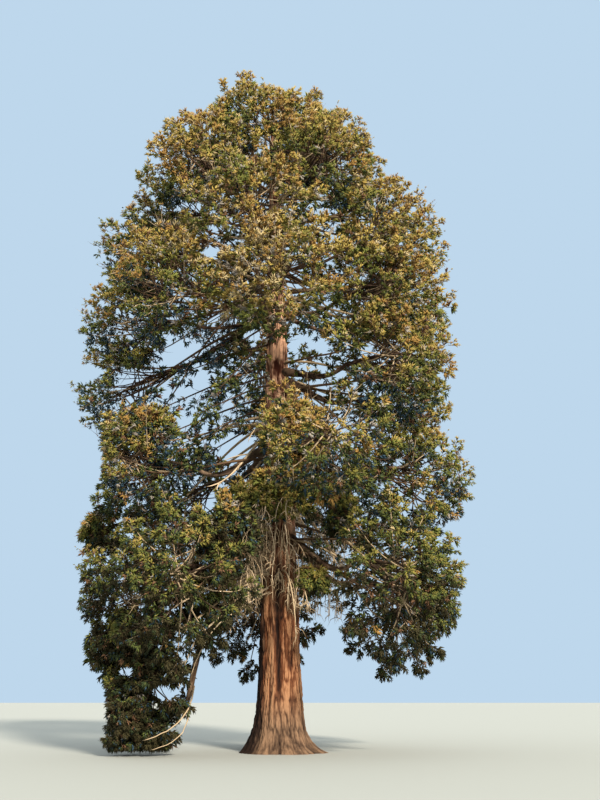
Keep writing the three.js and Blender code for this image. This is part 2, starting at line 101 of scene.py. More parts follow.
def mix(a: Reals | float, b: Reals | float, share: Reals | float) -> Reals:
    """Give what lies the given share of the way from a to b."""
    return np.asarray(a) * (1.0 - share) + np.asarray(b) * share


def step_up(value: Reals, low: float, high: float) -> Reals:
    """Rise smoothly from 0 at low to 1 at high: three squares of the share less two cubes of it."""
    share = np.clip((value - low) / (high - low), 0.0, 1.0)
    return share * share * (3.0 - 2.0 * share)


def evenly(count: int) -> Reals:
    """Give numbers evenly spread from 0 to 1."""
    return np.linspace(0.0, 1.0, count)


def stretches(values: tuple[float, ...], counts: tuple[int, ...]) -> Reals:
    """Give numbers that run evenly from each value to the next, so many in each stretch."""
    parts = [np.linspace(*ends) for ends in zip(values, values[1:], counts)]
    return np.concatenate([parts[0], *(part[1:] for part in parts[1:])])


def unit(vectors: Reals) -> Reals:
    """Give vectors of length 1 in the same directions."""
    return vectors / np.maximum(np.linalg.norm(vectors, axis=-1, keepdims=True), 1e-9)


def along(vectors: Reals, others: Reals) -> Reals:
    """Give the dot product of each pair of vectors."""
    return np.sum(vectors * others, axis=-1)


def outward(azimuth: Reals | float) -> Reals:
    """Give the level unit vector at an azimuth in radians."""
    azimuth = np.asarray(azimuth, dtype=float)
    return np.stack([np.cos(azimuth), np.sin(azimuth), np.zeros_like(azimuth)], axis=-1)


def turned(vectors: Reals, axes: Reals, angles: Reals) -> Reals:
    """Turn vectors about unit axes.

    A turned vector is its cosine share, plus the sine share of the axis crossed with it, plus what of it
    lies along the axis times one less the cosine.

    Args:
        vectors: Vectors to turn, one a row.
        axes: Unit axes, one a row.
        angles: Turns in radians, one a row.

    Returns:
        The turned vectors.
    """
    cosine, sine = np.cos(angles)[..., None], np.sin(angles)[..., None]
    kept = axes * along(axes, vectors)[..., None] * (1.0 - cosine)
    return vectors * cosine + np.cross(axes, vectors) * sine + kept


def bezier(controls: Reals, shares: Reals) -> Reals:
    """Give points along cubic Bezier lines.

    A point is the sum of the four controls, weighted by the four terms of (share + rest) cubed.

    Args:
        controls: Four controls for each line, as an array of lines by 4 by 3.
        shares: How far along each line its points lie, from 0 to 1.

    Returns:
        An array of lines by points by 3.
    """
    rest = 1.0 - shares
    weights = np.stack([rest**3, 3 * rest**2 * shares, 3 * rest * shares**2, shares**3])
    return np.einsum("kp,lkc->lpc", weights, controls)


def places_on(lines: Reals, shares: Reals) -> tuple[Reals, Reals]:
    """Give points at shares along Bezier lines, and the directions in which the lines run there."""
    ahead, behind = bezier(lines, np.minimum(shares + 0.03, 1.0)), bezier(lines, shares - 0.03)
    return bezier(lines, shares), unit(ahead - behind)


def lattice_noise(u: Reals, v: Reals, seed: int, around: int | None = None) -> Reals:
    """Give smooth noise from 0 to 1.

    A scattered number stands at each whole (u, v), and between them it runs by smooth steps along both.
    Where around is given, u repeats after that many.

    Args:
        u: First coordinate.
        v: Second coordinate, of the same shape.
        seed: Which noise it is.
        around: After how many whole steps u comes round again.

    Returns:
        The noise, in the shape of u.
    """
    i, j = np.floor(u), np.floor(v)
    a, b = step_up(u - i, 0.0, 1.0), step_up(v - j, 0.0, 1.0)

    def corner(di: int, dj: int) -> Reals:
        """Give the number at a corner of each point's cell."""
        column = np.mod(i + di, around) if around else i + di
        return scatter(column + NOISE_SHIFTS[0] * seed, j + dj + NOISE_SHIFTS[1] * seed)

    return mix(mix(corner(0, 0), corner(1, 0), a), mix(corner(0, 1), corner(1, 1), a), b)


SUNWARD = outward(SUN_AZIMUTH) * math.cos(SUN_HEIGHT) + UP * math.sin(SUN_HEIGHT)


# Meshes


@dataclass
class Mesh:
    """Points and triangles of one piece, with what its finishes read."""

    points: Reals
    triangles: Whole
    finish: Whole | None = None
    relief: Reals | None = None
    wear: Reals | None = None
    uv: Reals | None = None
    smooth: bool = False
    flat_faces: int = 0


Batch = list[tuple[Mesh, list[str]]]


def joined(meshes: Iterable[Mesh]) -> Mesh:
    """Put several meshes together as one, keeping the finish of each triangle and the bark of each point."""
    meshes = list(meshes)
    starts = np.cumsum([0] + [len(m.points) for m in meshes[:-1]])
    finishes = [np.zeros(len(m.triangles), int) if m.finish is None else m.finish for m in meshes]
    barked = all(m.relief is not None for m in meshes)
    return Mesh(
        np.concatenate([m.points for m in meshes]),
        np.concatenate([m.triangles + start for m, start in zip(meshes, starts)]),
        np.concatenate(finishes),
        relief=np.concatenate([m.relief for m in meshes]) if barked else None,
        wear=np.concatenate([m.wear for m in meshes]) if barked else None,
        smooth=any(m.smooth for m in meshes),
    )


def tubes(paths: Reals, radii: Reals, sides: int, finish: Whole | None = None) -> Mesh:
    """Make closed round limbs along many paths at once.

    Round each point of a path but its last stands a ring: the point plus the radius times a cosine of one
    vector square to the path and a sine of another. The last point is the tip, and a flat cap closes the
    root.

    Args:
        paths: Points of the paths, as an array of paths by points by 3.
        radii: Radius at each point, as an array of paths by points.
        sides: Points in a ring.
        finish: Which finish each path has.

    Returns:
        The limbs as one mesh.
    """
    count, steps, _ = paths.shape
    tangents = unit(np.gradient(paths, axis=1))
    upright = np.abs(tangents[:, :, 2].mean(axis=1)) > STEEP
    reference = np.where(upright[:, None], np.array([1.0, 0.0, 0.0]), UP)[:, None]
    across = unit(np.cross(tangents, reference))[:, :-1, None]
    over = np.cross(tangents[:, :-1, None], across)
    angles = (TURN * np.arange(sides) / sides)[:, None]
    offsets = radii[:, :-1, None, None] * (across * np.cos(angles) + over * np.sin(angles))
    rings = (paths[:, :-1, None] + offsets).reshape(count, (steps - 1) * sides, 3)
    points = np.concatenate([rings, paths[:, -1:]], axis=1)
    one = tube_faces(steps - 1, sides)
    starts = np.arange(count) * points.shape[1]
    triangles = (one[None] + starts[:, None, None]).reshape(-1, 3)
    owners = np.repeat(finish, len(one)) if finish is not None else None
    return Mesh(points.reshape(-1, 3), triangles, owners, smooth=sides > FLAT_SIDES)


def tapering(
    lines: Reals, steps: int, radii: Pair, sides: int, finish: Whole | None = None
) -> Mesh:
    """Make round limbs along Bezier lines, evenly tapering from root to tip.

    Args:
        lines: Four controls for each limb, as an array of lines by 4 by 3.
        steps: How many points each has along it.
        radii: Their radii at the root and at the tip.
        sides: Points in a ring.
        finish: Which finish each has.

    Returns:
        The limbs as one mesh.
    """
    paths = bezier(lines, evenly(steps))
    return tubes(paths, np.tile(np.linspace(*radii, steps), (len(lines), 1)), sides, finish)


def ring_walls(rings: int, sides: int) -> Whole:
    """Give the triangles between rings, facing out, where ring i's points start at i times sides."""
    here, side = np.meshgrid(np.arange(rings - 1), np.arange(sides), indexing="ij")
    a, b = here * sides + side, here * sides + (side + 1) % sides
    halves = [np.stack([a, b, b + sides], -1), np.stack([a, b + sides, a + sides], -1)]
    return np.stack(halves, 2).reshape(-1, 3)


def tube_faces(rings: int, sides: int) -> Whole:
    """Give the triangles of one closed limb: its walls, its tip, and the cap on its root."""
    last, edge = (rings - 1) * sides, np.arange(sides)
    tip = np.stack([last + edge, last + (edge + 1) % sides, np.full(sides, rings * sides)], -1)
    fan = np.arange(1, sides - 1)
    cap = np.stack([np.zeros_like(fan), fan + 1, fan], -1)
    return np.concatenate([ring_walls(rings, sides), tip, cap])


def make_piece(
    name: str, mesh: Mesh, materials: list[bpy.types.Material], replaced: Iterable[str] = ()
) -> bpy.types.Object:
    """Put a mesh into the scene as one finished piece.

    Args:
        name: Name of the piece.
        mesh: Its points and triangles.
        materials: Its finishes, in the order that the mesh's finish numbers them.
        replaced: CAD nodes that the piece stands for.

    Returns:
        The new object.
    """
    data = bpy.data.meshes.new(name)
    data.vertices.add(len(mesh.points))
    data.vertices.foreach_set("co", mesh.points.astype(np.float32).ravel())
    data.loops.add(3 * len(mesh.triangles))
    data.loops.foreach_set("vertex_index", mesh.triangles.astype(np.int32).ravel())
    data.polygons.add(len(mesh.triangles))
    data.polygons.foreach_set("loop_start", np.arange(0, 3 * len(mesh.triangles), 3, dtype=np.int32))
    for material in materials:
        data.materials.append(material)
    if mesh.finish is not None and len(materials) > 1:
        data.polygons.foreach_set("material_index", mesh.finish.astype(np.int32))
    smooth = np.full(len(mesh.triangles), mesh.smooth)
    smooth[len(smooth) - mesh.flat_faces:] = False
    data.polygons.foreach_set("use_smooth", smooth)
    data.update(calc_edges=True)
    for label, values in (("relief", mesh.relief), ("wear", mesh.wear)):
        if values is not None:
            attribute = data.attributes.new(label, "FLOAT", "POINT")
            attribute.data.foreach_set("value", values.astype(np.float32).ravel())
    if mesh.uv is not None:
        layer = data.uv_layers.new(name="round_and_up")
        layer.data.foreach_set("uv", mesh.uv.astype(np.float32).ravel())
    piece = bpy.data.objects.new(name, data)
    bpy.context.scene.collection.objects.link(piece)
    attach(piece, BODY)
    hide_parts(*replaced)
    log.info("%s: %d triangles", name, len(mesh.triangles))
    return piece


# Finishes


def linear(colour: Colour) -> tuple[float, float, float, float]:
    """Give a colour as the shader reads it, from its red, green and blue of 0 to 255.

    Below a share of 0.04045 a value is divided by 12.92, and above it is (share + 0.055) / 1.055 to the
    power 2.4.
    """
    shares = [value / 255.0 for value in colour]
    red, green, blue = (s / 12.92 if s <= 0.04045 else ((s + 0.055) / 1.055) ** 2.4 for s in shares)
    return red, green, blue, 1.0


def set_inputs(node: bpy.types.Node, **values: float | tuple[float, ...]) -> bpy.types.Node:
    """Set inputs of a node, named with low lines for spaces, and give the node."""
    for name, value in values.items():
        node.inputs[name.replace("_", " ")].default_value = value
    return node


def mixed(first: Colour, second: Colour, share: float) -> Colour:
    """Give the colour that lies the given share of the way from the first to the second."""
    return tuple(int(mix(a, b, share)) for a, b in zip(first, second))


def scaled(colour: Colour, factor: float) -> Colour:
    """Give a lighter or darker shade of a colour."""
    return tuple(min(255, int(factor * value)) for value in colour)


class Tint(Enum):
    """The colours that sprays of needles have.

    The first seven run from the crown's shade out to the sun, partly as the foliage's own greens and bronze
    and partly as painted shade and painted sun. Then come dry sprays, withered and dusty ones, dark umber
    ones as painted shade low in the crown, and the russet and the green of patches in its sunny parts.
    """

    BLUE_SHADE = (48, 69, 84)
    DEEP_GREEN = (50, 60, 36)
    MOSS = (80, 88, 44)
    OLIVE = (110, 106, 50)
    GOLD_OLIVE = (132, 124, 60)
    BRONZE = (148, 124, 68)
    GOLD = (164, 144, 76)
    STRAW = (176, 158, 116)
    WITHERED = (108, 80, 58)
    DUSTY = (142, 134, 124)
    UMBER_SHADE = (56, 51, 30)
    RUSSET = (146, 114, 62)
    FERN = (108, 112, 54)


TINT_NUMBERS = {tint: number for number, tint in enumerate(Tint)}


class TwigTint(Enum):
    """The colours of twigs: living ones inside the foliage, then dead ones."""

    LIVING = (92, 72, 54)
    SHADED = (70, 54, 43)
    GREY = (178, 156, 126)
    BLEACHED = (202, 180, 150)


LIVING, SHADED, GREY, BLEACHED = range(len(TwigTint))


@dataclass(frozen=True)
class PlainFinish:
    """A finish of plain colours, for many small shapes that get their variety from many colours."""

    name: str
    tints: type[Enum]
    roughness: float
    shine: float

    def materials(self) -> list[bpy.types.Material]:
        """Make a material for each tint, in the order of the tints."""
        return [self.one(f"{self.name}_{tint.name.lower()}", tint.value) for tint in self.tints]

    def one(self, name: str, colour: Colour) -> bpy.types.Material:
        """Make the material of one colour."""
        material = bpy.data.materials.new(name)
        material.use_nodes = True
        shader = material.node_tree.nodes["Principled BSDF"]
        set_inputs(shader, Base_Color=linear(colour), Roughness=self.roughness, Specular_IOR_Level=self.shine)
        return material


WAXY_NEEDLES = PlainFinish("needles", Tint, 0.7, 0.16)
THIN_BARK = PlainFinish("twigs", TwigTint, 0.85, 0.15)
FLOOR_PAINT = PlainFinish("floor", Enum("FloorTint", {"PAINT": (170, 172, 166)}), 0.9, 0.1)


@dataclass(frozen=True)
class BarkFinish:
    """Fibrous bark: dark furrows, partly their own colour and partly painted shade, and red-brown ridges worn
    pale on their crests.

    Low down it is greyer and paler, and aloft it is paler with dark torn patches; the paleness aloft is
    partly the bark's own tone and partly painted light for the upper trunk that the crown shades. Fibre is
    how many times finer the grain is round the trunk than up it. Shares say how much the relief, which
    carries painted shade, and each kind of wear count.
    """

    name: str
    furrow: Colour
    ridge: Colour
    crest: Colour
    weathered: Colour
    weathered_top: float
    aloft: Colour
    torn: Colour
    fibre: float = 14.0
    grain: float = 2.4
    flake: float = 2.2
    flake_length: float = 5.0
    blotch: float = 3.4
    blotch_length: float = 0.45
    blotch_middle: float = 0.535
    blotch_share: float = 1.6
    relief_share: float = 0.6
    fibre_share: float = 0.3
    flake_share: float = 0.3
    patch: Pair = (1.6, 0.55)
    patch_wear: Pair = (0.52, 0.8)
    aloft_heights: Pair = (5.5, 9.0)
    most: float = 0.85
    roughness: float = 0.92
    shine: float = 0.15
    bump: float = 0.8
    relief_depth: float = 0.02

    def material(self) -> bpy.types.Material:
        """Make the bark's material, which reads the relief and wear of each point and its place."""
        material = bpy.data.materials.new(self.name)
        material.use_nodes = True
        nodes, links = material.node_tree.nodes, material.node_tree.links
        shader = nodes["Principled BSDF"]
        place = nodes.new("ShaderNodeTexCoord")
        relief, wear = (nodes.new("ShaderNodeAttribute") for _ in range(2))
        relief.attribute_name, wear.attribute_name = "relief", "wear"

        def noise(across: float, upright: float, detail: float, roughness: float) -> Socket:
            """Give noise with so many waves a metre across the trunk and up it."""
            mapping = set_inputs(nodes.new("ShaderNodeMapping"), Scale=(across, across, upright))
            links.new(place.outputs["Object"], mapping.inputs["Vector"])
            node = nodes.new("ShaderNodeTexNoise")
            set_inputs(node, Scale=1.0, Detail=detail, Roughness=roughness)
            links.new(mapping.outputs["Vector"], node.inputs["Vector"])
            return node.outputs["Fac"]

        def rise(value: Socket, start: float, end: float, most: float = 1.0) -> Socket:
            """Give what rises smoothly from 0 to the most while a value goes from start to end."""
            node = nodes.new("ShaderNodeMapRange")
            node.interpolation_type = "SMOOTHSTEP"
            set_inputs(node, From_Min=start, From_Max=end, To_Max=most)
            links.new(value, node.inputs["Value"])
            return node.outputs["Result"]

        def ramp(value: Socket, *stops: tuple[float, Colour]) -> Socket:
            """Give a colour for a value, from stops of place and colour."""
            node = nodes.new("ShaderNodeValToRGB")
            while len(node.color_ramp.elements) < len(stops):
                node.color_ramp.elements.new(0.5)
            for element, (position, colour) in zip(node.color_ramp.elements, stops):
                element.position, element.color = position, linear(colour)
            links.new(value, node.inputs["Fac"])
            return node.outputs["Color"]

        def maths(kind: str, a: Socket, b: Socket | float) -> Socket:
            """Give the sum, product or other mathematics of two values."""
            node = nodes.new("ShaderNodeMath")
            node.operation = kind
            links.new(a, node.inputs[0])
            if isinstance(b, float):
                node.inputs[1].default_value = b
            else:
                links.new(b, node.inputs[1])
            return node.outputs["Value"]

        def blend(share: Socket, a: Socket, b: Socket) -> Socket:
            """Give a colour the given share of the way from a to b."""
            node = nodes.new("ShaderNodeMix")
            node.data_type = "RGBA"
            links.new(share, node.inputs["Factor"])
            links.new(a, node.inputs["A"])
            links.new(b, node.inputs["B"])
            return node.outputs["Result"]

        fibres = noise(self.grain * self.fibre, self.grain, 5.0, 0.62)
        patches = noise(*self.patch, 3.0, 0.5)
        flakes = noise(self.flake * self.flake_length, self.flake, 2.0, 0.6)
        blotches = noise(self.blotch, self.blotch_length * self.blotch, 2.0, 0.6)
        # Low relief takes the dark furrow colour, partly the bark's own and partly painted shade; on the
        # trunk the relief also carries its painted shade and highlight.
        worn = maths("MULTIPLY", relief.outputs["Fac"], self.relief_share)
        worn = maths("ADD", worn, maths("MULTIPLY", fibres, self.fibre_share))
        worn = maths("ADD", worn, maths("MULTIPLY", flakes, self.flake_share))
        broken = maths("MULTIPLY", maths("SUBTRACT", blotches, self.blotch_middle), self.blotch_share)
        broken = maths("ADD", worn, broken)
        body = ramp(
            worn, (0.38, self.furrow), (0.52, mixed(self.furrow, self.ridge, 0.65)), (0.64, self.ridge),
            (0.82, self.crest),
        )
        pale = ramp(
            worn, (0.42, mixed(self.furrow, self.weathered, 0.2)), (0.58, scaled(self.weathered, 0.8)),
            (0.82, scaled(self.weathered, 1.22)),
        )
        above = ramp(
            broken, (0.36, self.torn), (0.5, mixed(self.torn, self.aloft, 0.4)), (0.66, self.aloft),
            (0.82, scaled(self.aloft, 1.2)),
        )
        height = nodes.new("ShaderNodeSeparateXYZ")
        links.new(place.outputs["Object"], height.inputs["Vector"])
        low = rise(height.outputs["Z"], self.weathered_top, 0.25 * self.weathered_top)
        spots = maths("MULTIPLY", rise(wear.outputs["Fac"], *self.patch_wear), patches)
        share = maths("MAXIMUM", maths("MULTIPLY", low, self.most), spots)
        # The colour aloft: on the trunk it is paler, partly the bark's own tone and partly painted light for
        # the upper trunk that the crown shades.
        upper = rise(height.outputs["Z"], *self.aloft_heights, self.most)
        links.new(blend(share, blend(upper, body, above), pale), shader.inputs["Base Color"])
        set_inputs(shader, Roughness=self.roughness, Specular_IOR_Level=self.shine)
        bump = set_inputs(nodes.new("ShaderNodeBump"), Strength=self.bump, Distance=self.relief_depth)
        links.new(fibres, bump.inputs["Height"])
        links.new(bump.outputs["Normal"], shader.inputs["Normal"])
        return material


# The trunk


@dataclass(frozen=True)
class Noise:
    """Noise over the trunk: how many cells it has round the trunk and up a metre, and its seed."""

    around: int
    upright: float
    seed: int

    def at(self, turns: Reals, heights: Reals, shift: Reals | float = 0.0) -> Reals:
        """Give the noise at turns round the trunk and heights up it, shifted round by so many cells."""
        return lattice_noise(turns * self.around + shift, heights * self.upright, self.seed, self.around)


@dataclass(frozen=True)
class Buttress:
    """A buttress root: its azimuth and half width in degrees, its spread, and how high it reaches."""

    azimuth: float
    spread: float
    fall: float
    width: float


@dataclass
class Trunk:
    """The trunk, from its flat cut at the ground to its tip among the highest masses.

    The shaded flank is a strip of painted shade on the left, and the painted highlight a strip of painted
    light on the lit face, each with its azimuth and half width. At the ground a strip shifts by the first
    number of its toe and widens by the second.
    """

    top: float = 25.2
    taper_end: float = 27.4
    taper_power: float = 0.85
    stem_radius: float = 0.77
    lean: float = 0.48
    lean_power: float = 1.3
    swell: float = 0.17
    swell_fall: float = 0.8
    flutes: int = 7
    flute_depth: float = 0.03
    buttresses: tuple[Buttress, ...] = (
        Buttress(354, 0.64, 0.29, 30),
        Buttress(186, 0.40, 0.56, 34),
        Buttress(238, 0.30, 0.42, 26),
        Buttress(300, 0.36, 0.38, 28),
        Buttress(62, 0.34, 0.42, 30),
        Buttress(122, 0.38, 0.40, 30),
    )
    sides: int = 256
    split: float = 6.4
    lower_rings: int = 380
    upper_rings: int = 290
    ring_crowding: float = 1.12
    tip_length: float = 0.15
    slow_lean: Noise = Noise(5, 0.3, 1)
    quick_lean: Noise = Noise(13, 0.9, 2)
    lean_shares: Pair = (0.9, 0.35)
    strips: Noise = Noise(30, 0.6, 3)
    finer: Noise = Noise(73, 2.0, 4)
    threads: Noise = Noise(121, 4.5, 5)
    rough: Noise = Noise(190, 14.0, 6)
    patches: Noise = Noise(22, 0.55, 7)
    sharpness: tuple[float, float, float] = (2.6, 1.7, 1.3)
    roundness: float = 0.65
    strip_depth: float = 0.1
    strip_middle: float = 0.6
    thinning_end: float = 1.04
    thinnest: float = 0.08
    root_deepening: float = 0.5
    root_fall: float = 0.9
    sway: float = 0.12
    seam_azimuth: float = math.radians(-93)
    seam_width: float = 0.13
    seam: Pair = (1.3, 7.2)
    seam_ends: Pair = (0.9, 1.6)
    seam_depth: float = 0.12
    # Painted shade darkens the seam and the left flank, and painted light brightens a strip of the lit face.
    seam_painted_shade: float = 0.85
    shaded_flank: Pair = (math.radians(-163), math.radians(22))
    shaded_flank_flatness: float = 0.9
    shaded_flank_darkening: float = 0.12
    # A strip of painted light on the trunk's lit face.
    painted_highlight: Pair = (math.radians(-126), math.radians(12))
    painted_highlight_gain: float = 0.22
    side_top: float = 7.5
    toe_fall: float = 0.8
    shaded_flank_toe: Pair = (math.radians(8), 0.5)
    painted_highlight_toe: Pair = (math.radians(14), 0.4)

    def axis(self, z: Reals | float) -> Reals:
        """Give the trunk's centre at a height: it leans to the left by a power of the height's share."""
        z = np.asarray(z, dtype=float)
        side = -self.lean * (np.maximum(z, 0.0) / self.top) ** self.lean_power
        return np.stack([side, np.zeros_like(z), z], axis=-1)

    def radius(self, azimuth: Reals, z: Reals) -> Reals:
        """Give the trunk's radius without its bark's relief.

        It is a tapering stem times shallow flutes, plus a swelling that dies out upwards, plus each
        buttress root: its spread, times a fall upwards, times a bell round its azimuth.

        Args:
            azimuth: Azimuths in radians.
            z: Heights, of the same shape.

        Returns:
            Radii in metres.
        """
        taper = self.stem_radius * np.maximum(1.0 - z / self.taper_end, 0.0) ** self.taper_power
        total = taper * (1.0 + self.flute_depth * np.cos(self.flutes * azimuth))
        total = total + self.swell * np.exp(-z / self.swell_fall)
        for root in self.buttresses:
            turn = np.abs(np.mod(np.degrees(azimuth) - root.azimuth + 540.0, 360.0) - 180.0)
            total = total + root.spread * np.exp(-z / root.fall) * np.exp(-((turn / root.width) ** 2))
        return total

    def bark(self, azimuth: Reals, z: Reals) -> tuple[Reals, Reals]:
        """Give the bark's height over the wood, from 0 in a furrow to 1 on a crest, and how worn it is there.

        Noise is drawn out up the trunk, and a furrow runs wherever it crosses its middle value, so furrows
        wander, part and meet, and the ridges between them are long lozenges. Finer furrows lie on their
        backs. The noise is shifted sideways by a slower one, so strips lean now one way and now the other.

        Args:
            azimuth: Azimuths in radians.
            z: Heights, of the same shape.

        Returns:
            The height, and the wear from 0 to 1.
        """
        u = azimuth / TURN
        slow, quick = self.lean_shares
        lean = slow * self.slow_lean.at(u, z) + quick * self.quick_lean.at(u, z)

        def ridges(kind: Noise, sharpness: float) -> Reals:
            """Give rounded ridges, parted where noise crosses its middle value."""
            noise = kind.at(u, z, lean * kind.around / self.strips.around)
            return np.clip(np.abs(2.0 * noise - 1.0) * sharpness, 0.0, 1.0) ** self.roundness

        kinds = (self.strips, self.finer, self.threads)
        broad, finer, threads = (ridges(kind, sharp) for kind, sharp in zip(kinds, self.sharpness))
        height = (0.4 * broad + 0.6) * (0.56 * finer + 0.3 * threads + 0.14 * self.rough.at(u, z))
        return 0.18 * broad + 0.82 * height, self.patches.at(u, z, lean)

    def surface(self, azimuth: Reals, z: Reals) -> tuple[Reals, Reals, Reals]:
        """Give points on the bark, with the bark's height and wear there.

        A point stands out from the axis by the radius, plus the bark's height times its depth, less a seam
        down the front that is deepest at its middle. The bark is deeper on the roots and thinner as the
        stem thins.

        Args:
            azimuth: Azimuths in radians.
            z: Heights, of the same shape.

        Returns:
            Points, heights from 0 to 1 with painted shade and a painted highlight worked in, and wear.
        """
        height, wear = self.bark(azimuth, z)
        thin = np.clip(1.0 - z / (self.thinning_end * self.top), self.thinnest, 1.0)
        depth = self.strip_depth * thin * (1.0 + self.root_deepening * np.exp(-z / self.root_fall))
        sway = self.sway * (lattice_noise(z * 0.9, z * 0.0, 9) - 0.5)
        toe = np.exp(-z / self.toe_fall)

        def bell(middle: float, width: float, shift: float = 0.0, widening: float = 0.0) -> Reals:
            """Give a bell round an azimuth, which shifts and widens towards the ground."""
            away = np.abs(np.mod(azimuth - middle - shift * toe - sway + 3.0 * math.pi, TURN) - math.pi)
            return np.exp(-((away / (width * (1.0 + widening * toe))) ** 2))

        start, end = self.seam
        ends = step_up(z, start, start + self.seam_ends[0]) * (1.0 - step_up(z, end - self.seam_ends[1], end))
        seam = ends * bell(self.seam_azimuth, self.seam_width)
        reach = self.radius(azimuth, z) + depth * (height - self.strip_middle) - self.seam_depth * seam
        # Low on the trunk, a strip of painted shade darkens the left flank and a strip of painted light
        # brightens the lit face.
        low = 1.0 - step_up(z, 0.6 * self.side_top, self.side_top)
        shaded_flank, painted_highlight = low * bell(*self.shaded_flank, *self.shaded_flank_toe), low * bell(*self.painted_highlight, *self.painted_highlight_toe)
        # The seam's groove is also darkened in colour, as painted shade.
        relief = height * (1.0 - self.seam_painted_shade * seam) * (1.0 - self.shaded_flank_flatness * shaded_flank)
        relief = relief - self.shaded_flank_darkening * shaded_flank + self.painted_highlight_gain * painted_highlight
        return self.axis(z) + outward(azimuth) * reach[..., None], np.clip(relief, 0.0, 1.0), wear

    def shell(self, heights: Reals, tip: bool) -> Mesh:
        """Make a closed stretch of trunk through rings at the given heights.

        Args:
            heights: Heights of its rings.
            tip: Whether it ends in a point at the trunk's top, rather than in a flat cap.

        Returns:
            The mesh, with a map of turns round and metres up.
        """
        k = np.arange(self.sides)
        z, azimuth = np.meshgrid(heights, TURN * k / self.sides, indexing="ij")
        points, relief, wear = self.surface(azimuth, z)
        rings, sides = z.shape
        ends = [self.axis(heights[0]), self.axis(self.top if tip else heights[-1])]
        u, v = np.broadcast_to(k / sides, (rings - 1, sides)), z[:-1]
        du, dv = 1.0 / sides, z[1:] - z[:-1]
        corners = [[(u, v), (u + du, v), (u + du, v + dv)], [(u, v), (u + du, v + dv), (u, v + dv)]]
        wall_uv = np.stack([np.stack([np.stack(c, -1) for c in tri], 2) for tri in corners], 2)
        foot, head = rings * sides, rings * sides + 1
        last = (rings - 1) * sides
        caps = np.concatenate([
            np.stack([np.full(sides, foot), (k + 1) % sides, k], -1),
            np.stack([last + k, last + (k + 1) % sides, np.full(sides, head)], -1),
        ])
        cap_z = np.repeat([heights[0], heights[-1]], sides)
        cap_u = np.tile(k / sides, 2)
        cap_corners = [(cap_u, cap_z), (cap_u + du, cap_z), (cap_u + 0.5 * du, cap_z + 0.01)]
        cap_uv = np.stack([np.stack(corner, -1) for corner in cap_corners], 1)
        return Mesh(
            np.concatenate([points.reshape(-1, 3), ends]),
            np.concatenate([ring_walls(rings, sides), caps]),
            relief=np.append(relief.ravel(), [0.5, 0.5]),
            wear=np.append(wear.ravel(), [0.5, 0.5]),
            uv=np.concatenate([wall_uv.reshape(-1, 3, 2), cap_uv]) * np.array([1.0, 0.2]),
            smooth=True,
            flat_faces=len(caps),
        )

    def build(self) -> None:
        """Make the trunk's two stretches, which share the ring where they meet."""
        bark = BarkFinish(
            "sequoia_bark", (22, 12, 9), (96, 57, 36), (158, 114, 82), (97, 78, 62), 2.3, (200, 156, 128),
            (60, 26, 18),
        ).material()
        lower = evenly(self.lower_rings) ** self.ring_crowding * self.split
        upper = np.linspace(self.split, self.top - self.tip_length, self.upper_rings)
        make_piece("trunk_bark_lower", self.shell(lower, False), [bark], ["trunk"])
        make_piece("trunk_bark_upper", self.shell(upper, True), [bark], ["trunk"])


# The crown's masses and what carries them


@dataclass(frozen=True)
class Tier:
    """A tier of masses: the height where they touch the crown's outside, half sizes and azimuths."""

    name: str
    height: float
    half: tuple[float, float, float]
    azimuths: tuple[float, ...]


@dataclass
class Mass:
    """One mass of foliage: a space of its own round a centre, and the stem that carries it."""

    name: str
    tier: str
    seed: int
    azimuth: float
    centre: Reals
    axes: Reals
    half: Reals
    bough: str | None = None
    boughlets: int = 0
    normals: Reals = field(default_factory=lambda: np.zeros((0, 3)))
    limits: Reals = field(default_factory=lambda: np.zeros(0))
    stem: Reals = field(default_factory=lambda: np.zeros((2, 3)))

    @property
    def on_ground(self) -> bool:
        """Tell whether it is the mass that lies on the ground."""
        return self.name == GROUND_MASS

    def half_along(self, direction: Reals) -> float:
        """Give how far the mass's own ellipsoid stands out along a direction."""
        return float(np.linalg.norm(self.half * (self.axes @ direction)))

    def reach(self, directions: Reals, ease: float = 0.0) -> Reals:
        """Give how far the mass's space reaches from its centre.

        It is the least of the ellipsoid, the ground, and the planes that part it from its neighbours.

        Args:
            directions: Unit vectors, one a row.
            ease: How far past those planes it may go, in metres.

        Returns:
            Distances in metres.
        """
        most = 1.0 / np.linalg.norm((directions @ self.axes.T) / self.half, axis=-1)
        if len(self.normals):
            facing = directions @ self.normals.T
            walls = np.where(facing > 1e-6, (self.limits + ease) / np.maximum(facing, 1e-6), np.inf)
            most = np.minimum(most, walls.min(axis=-1))
        fall = -directions[..., 2]
        ground = np.where(fall > 1e-6, (self.centre[2] - 0.03) / np.maximum(fall, 1e-6), np.inf)
        return np.minimum(most, ground)

    def depth(self, points: Reals, ease: float = 0.0) -> Reals:
        """Give 1 for points on the edge of the mass's space, less inside it and more outside."""
        offset = points - self.centre
        return np.linalg.norm(offset, axis=-1) / self.reach(unit(offset), ease)

    def spiral(self, count: int, phase: float, pole_reach: float, crowding: float = 1.0) -> Reals:
        """Give directions spread from the mass's outward end round to its inner side.

        Each steps on by the golden angle about the outward axis while its share along that axis falls.

        Args:
            count: How many directions.
            phase: Where the spiral starts, in radians.
            pole_reach: How far it gets from the outward end, 2 being all round.
            crowding: 1 for an even spread, more to crowd them at the outward end.

        Returns:
            Unit vectors, one a row.
        """
        k = np.arange(count)
        share = 1.0 - pole_reach * ((k + 0.5) / count) ** crowding
        across = np.sqrt(np.maximum(1.0 - share * share, 0.0))
        angle = GOLDEN_ANGLE * k + phase
        local = np.stack([share, across * np.cos(angle), across * np.sin(angle)], axis=-1)
        return unit(local @ self.axes)


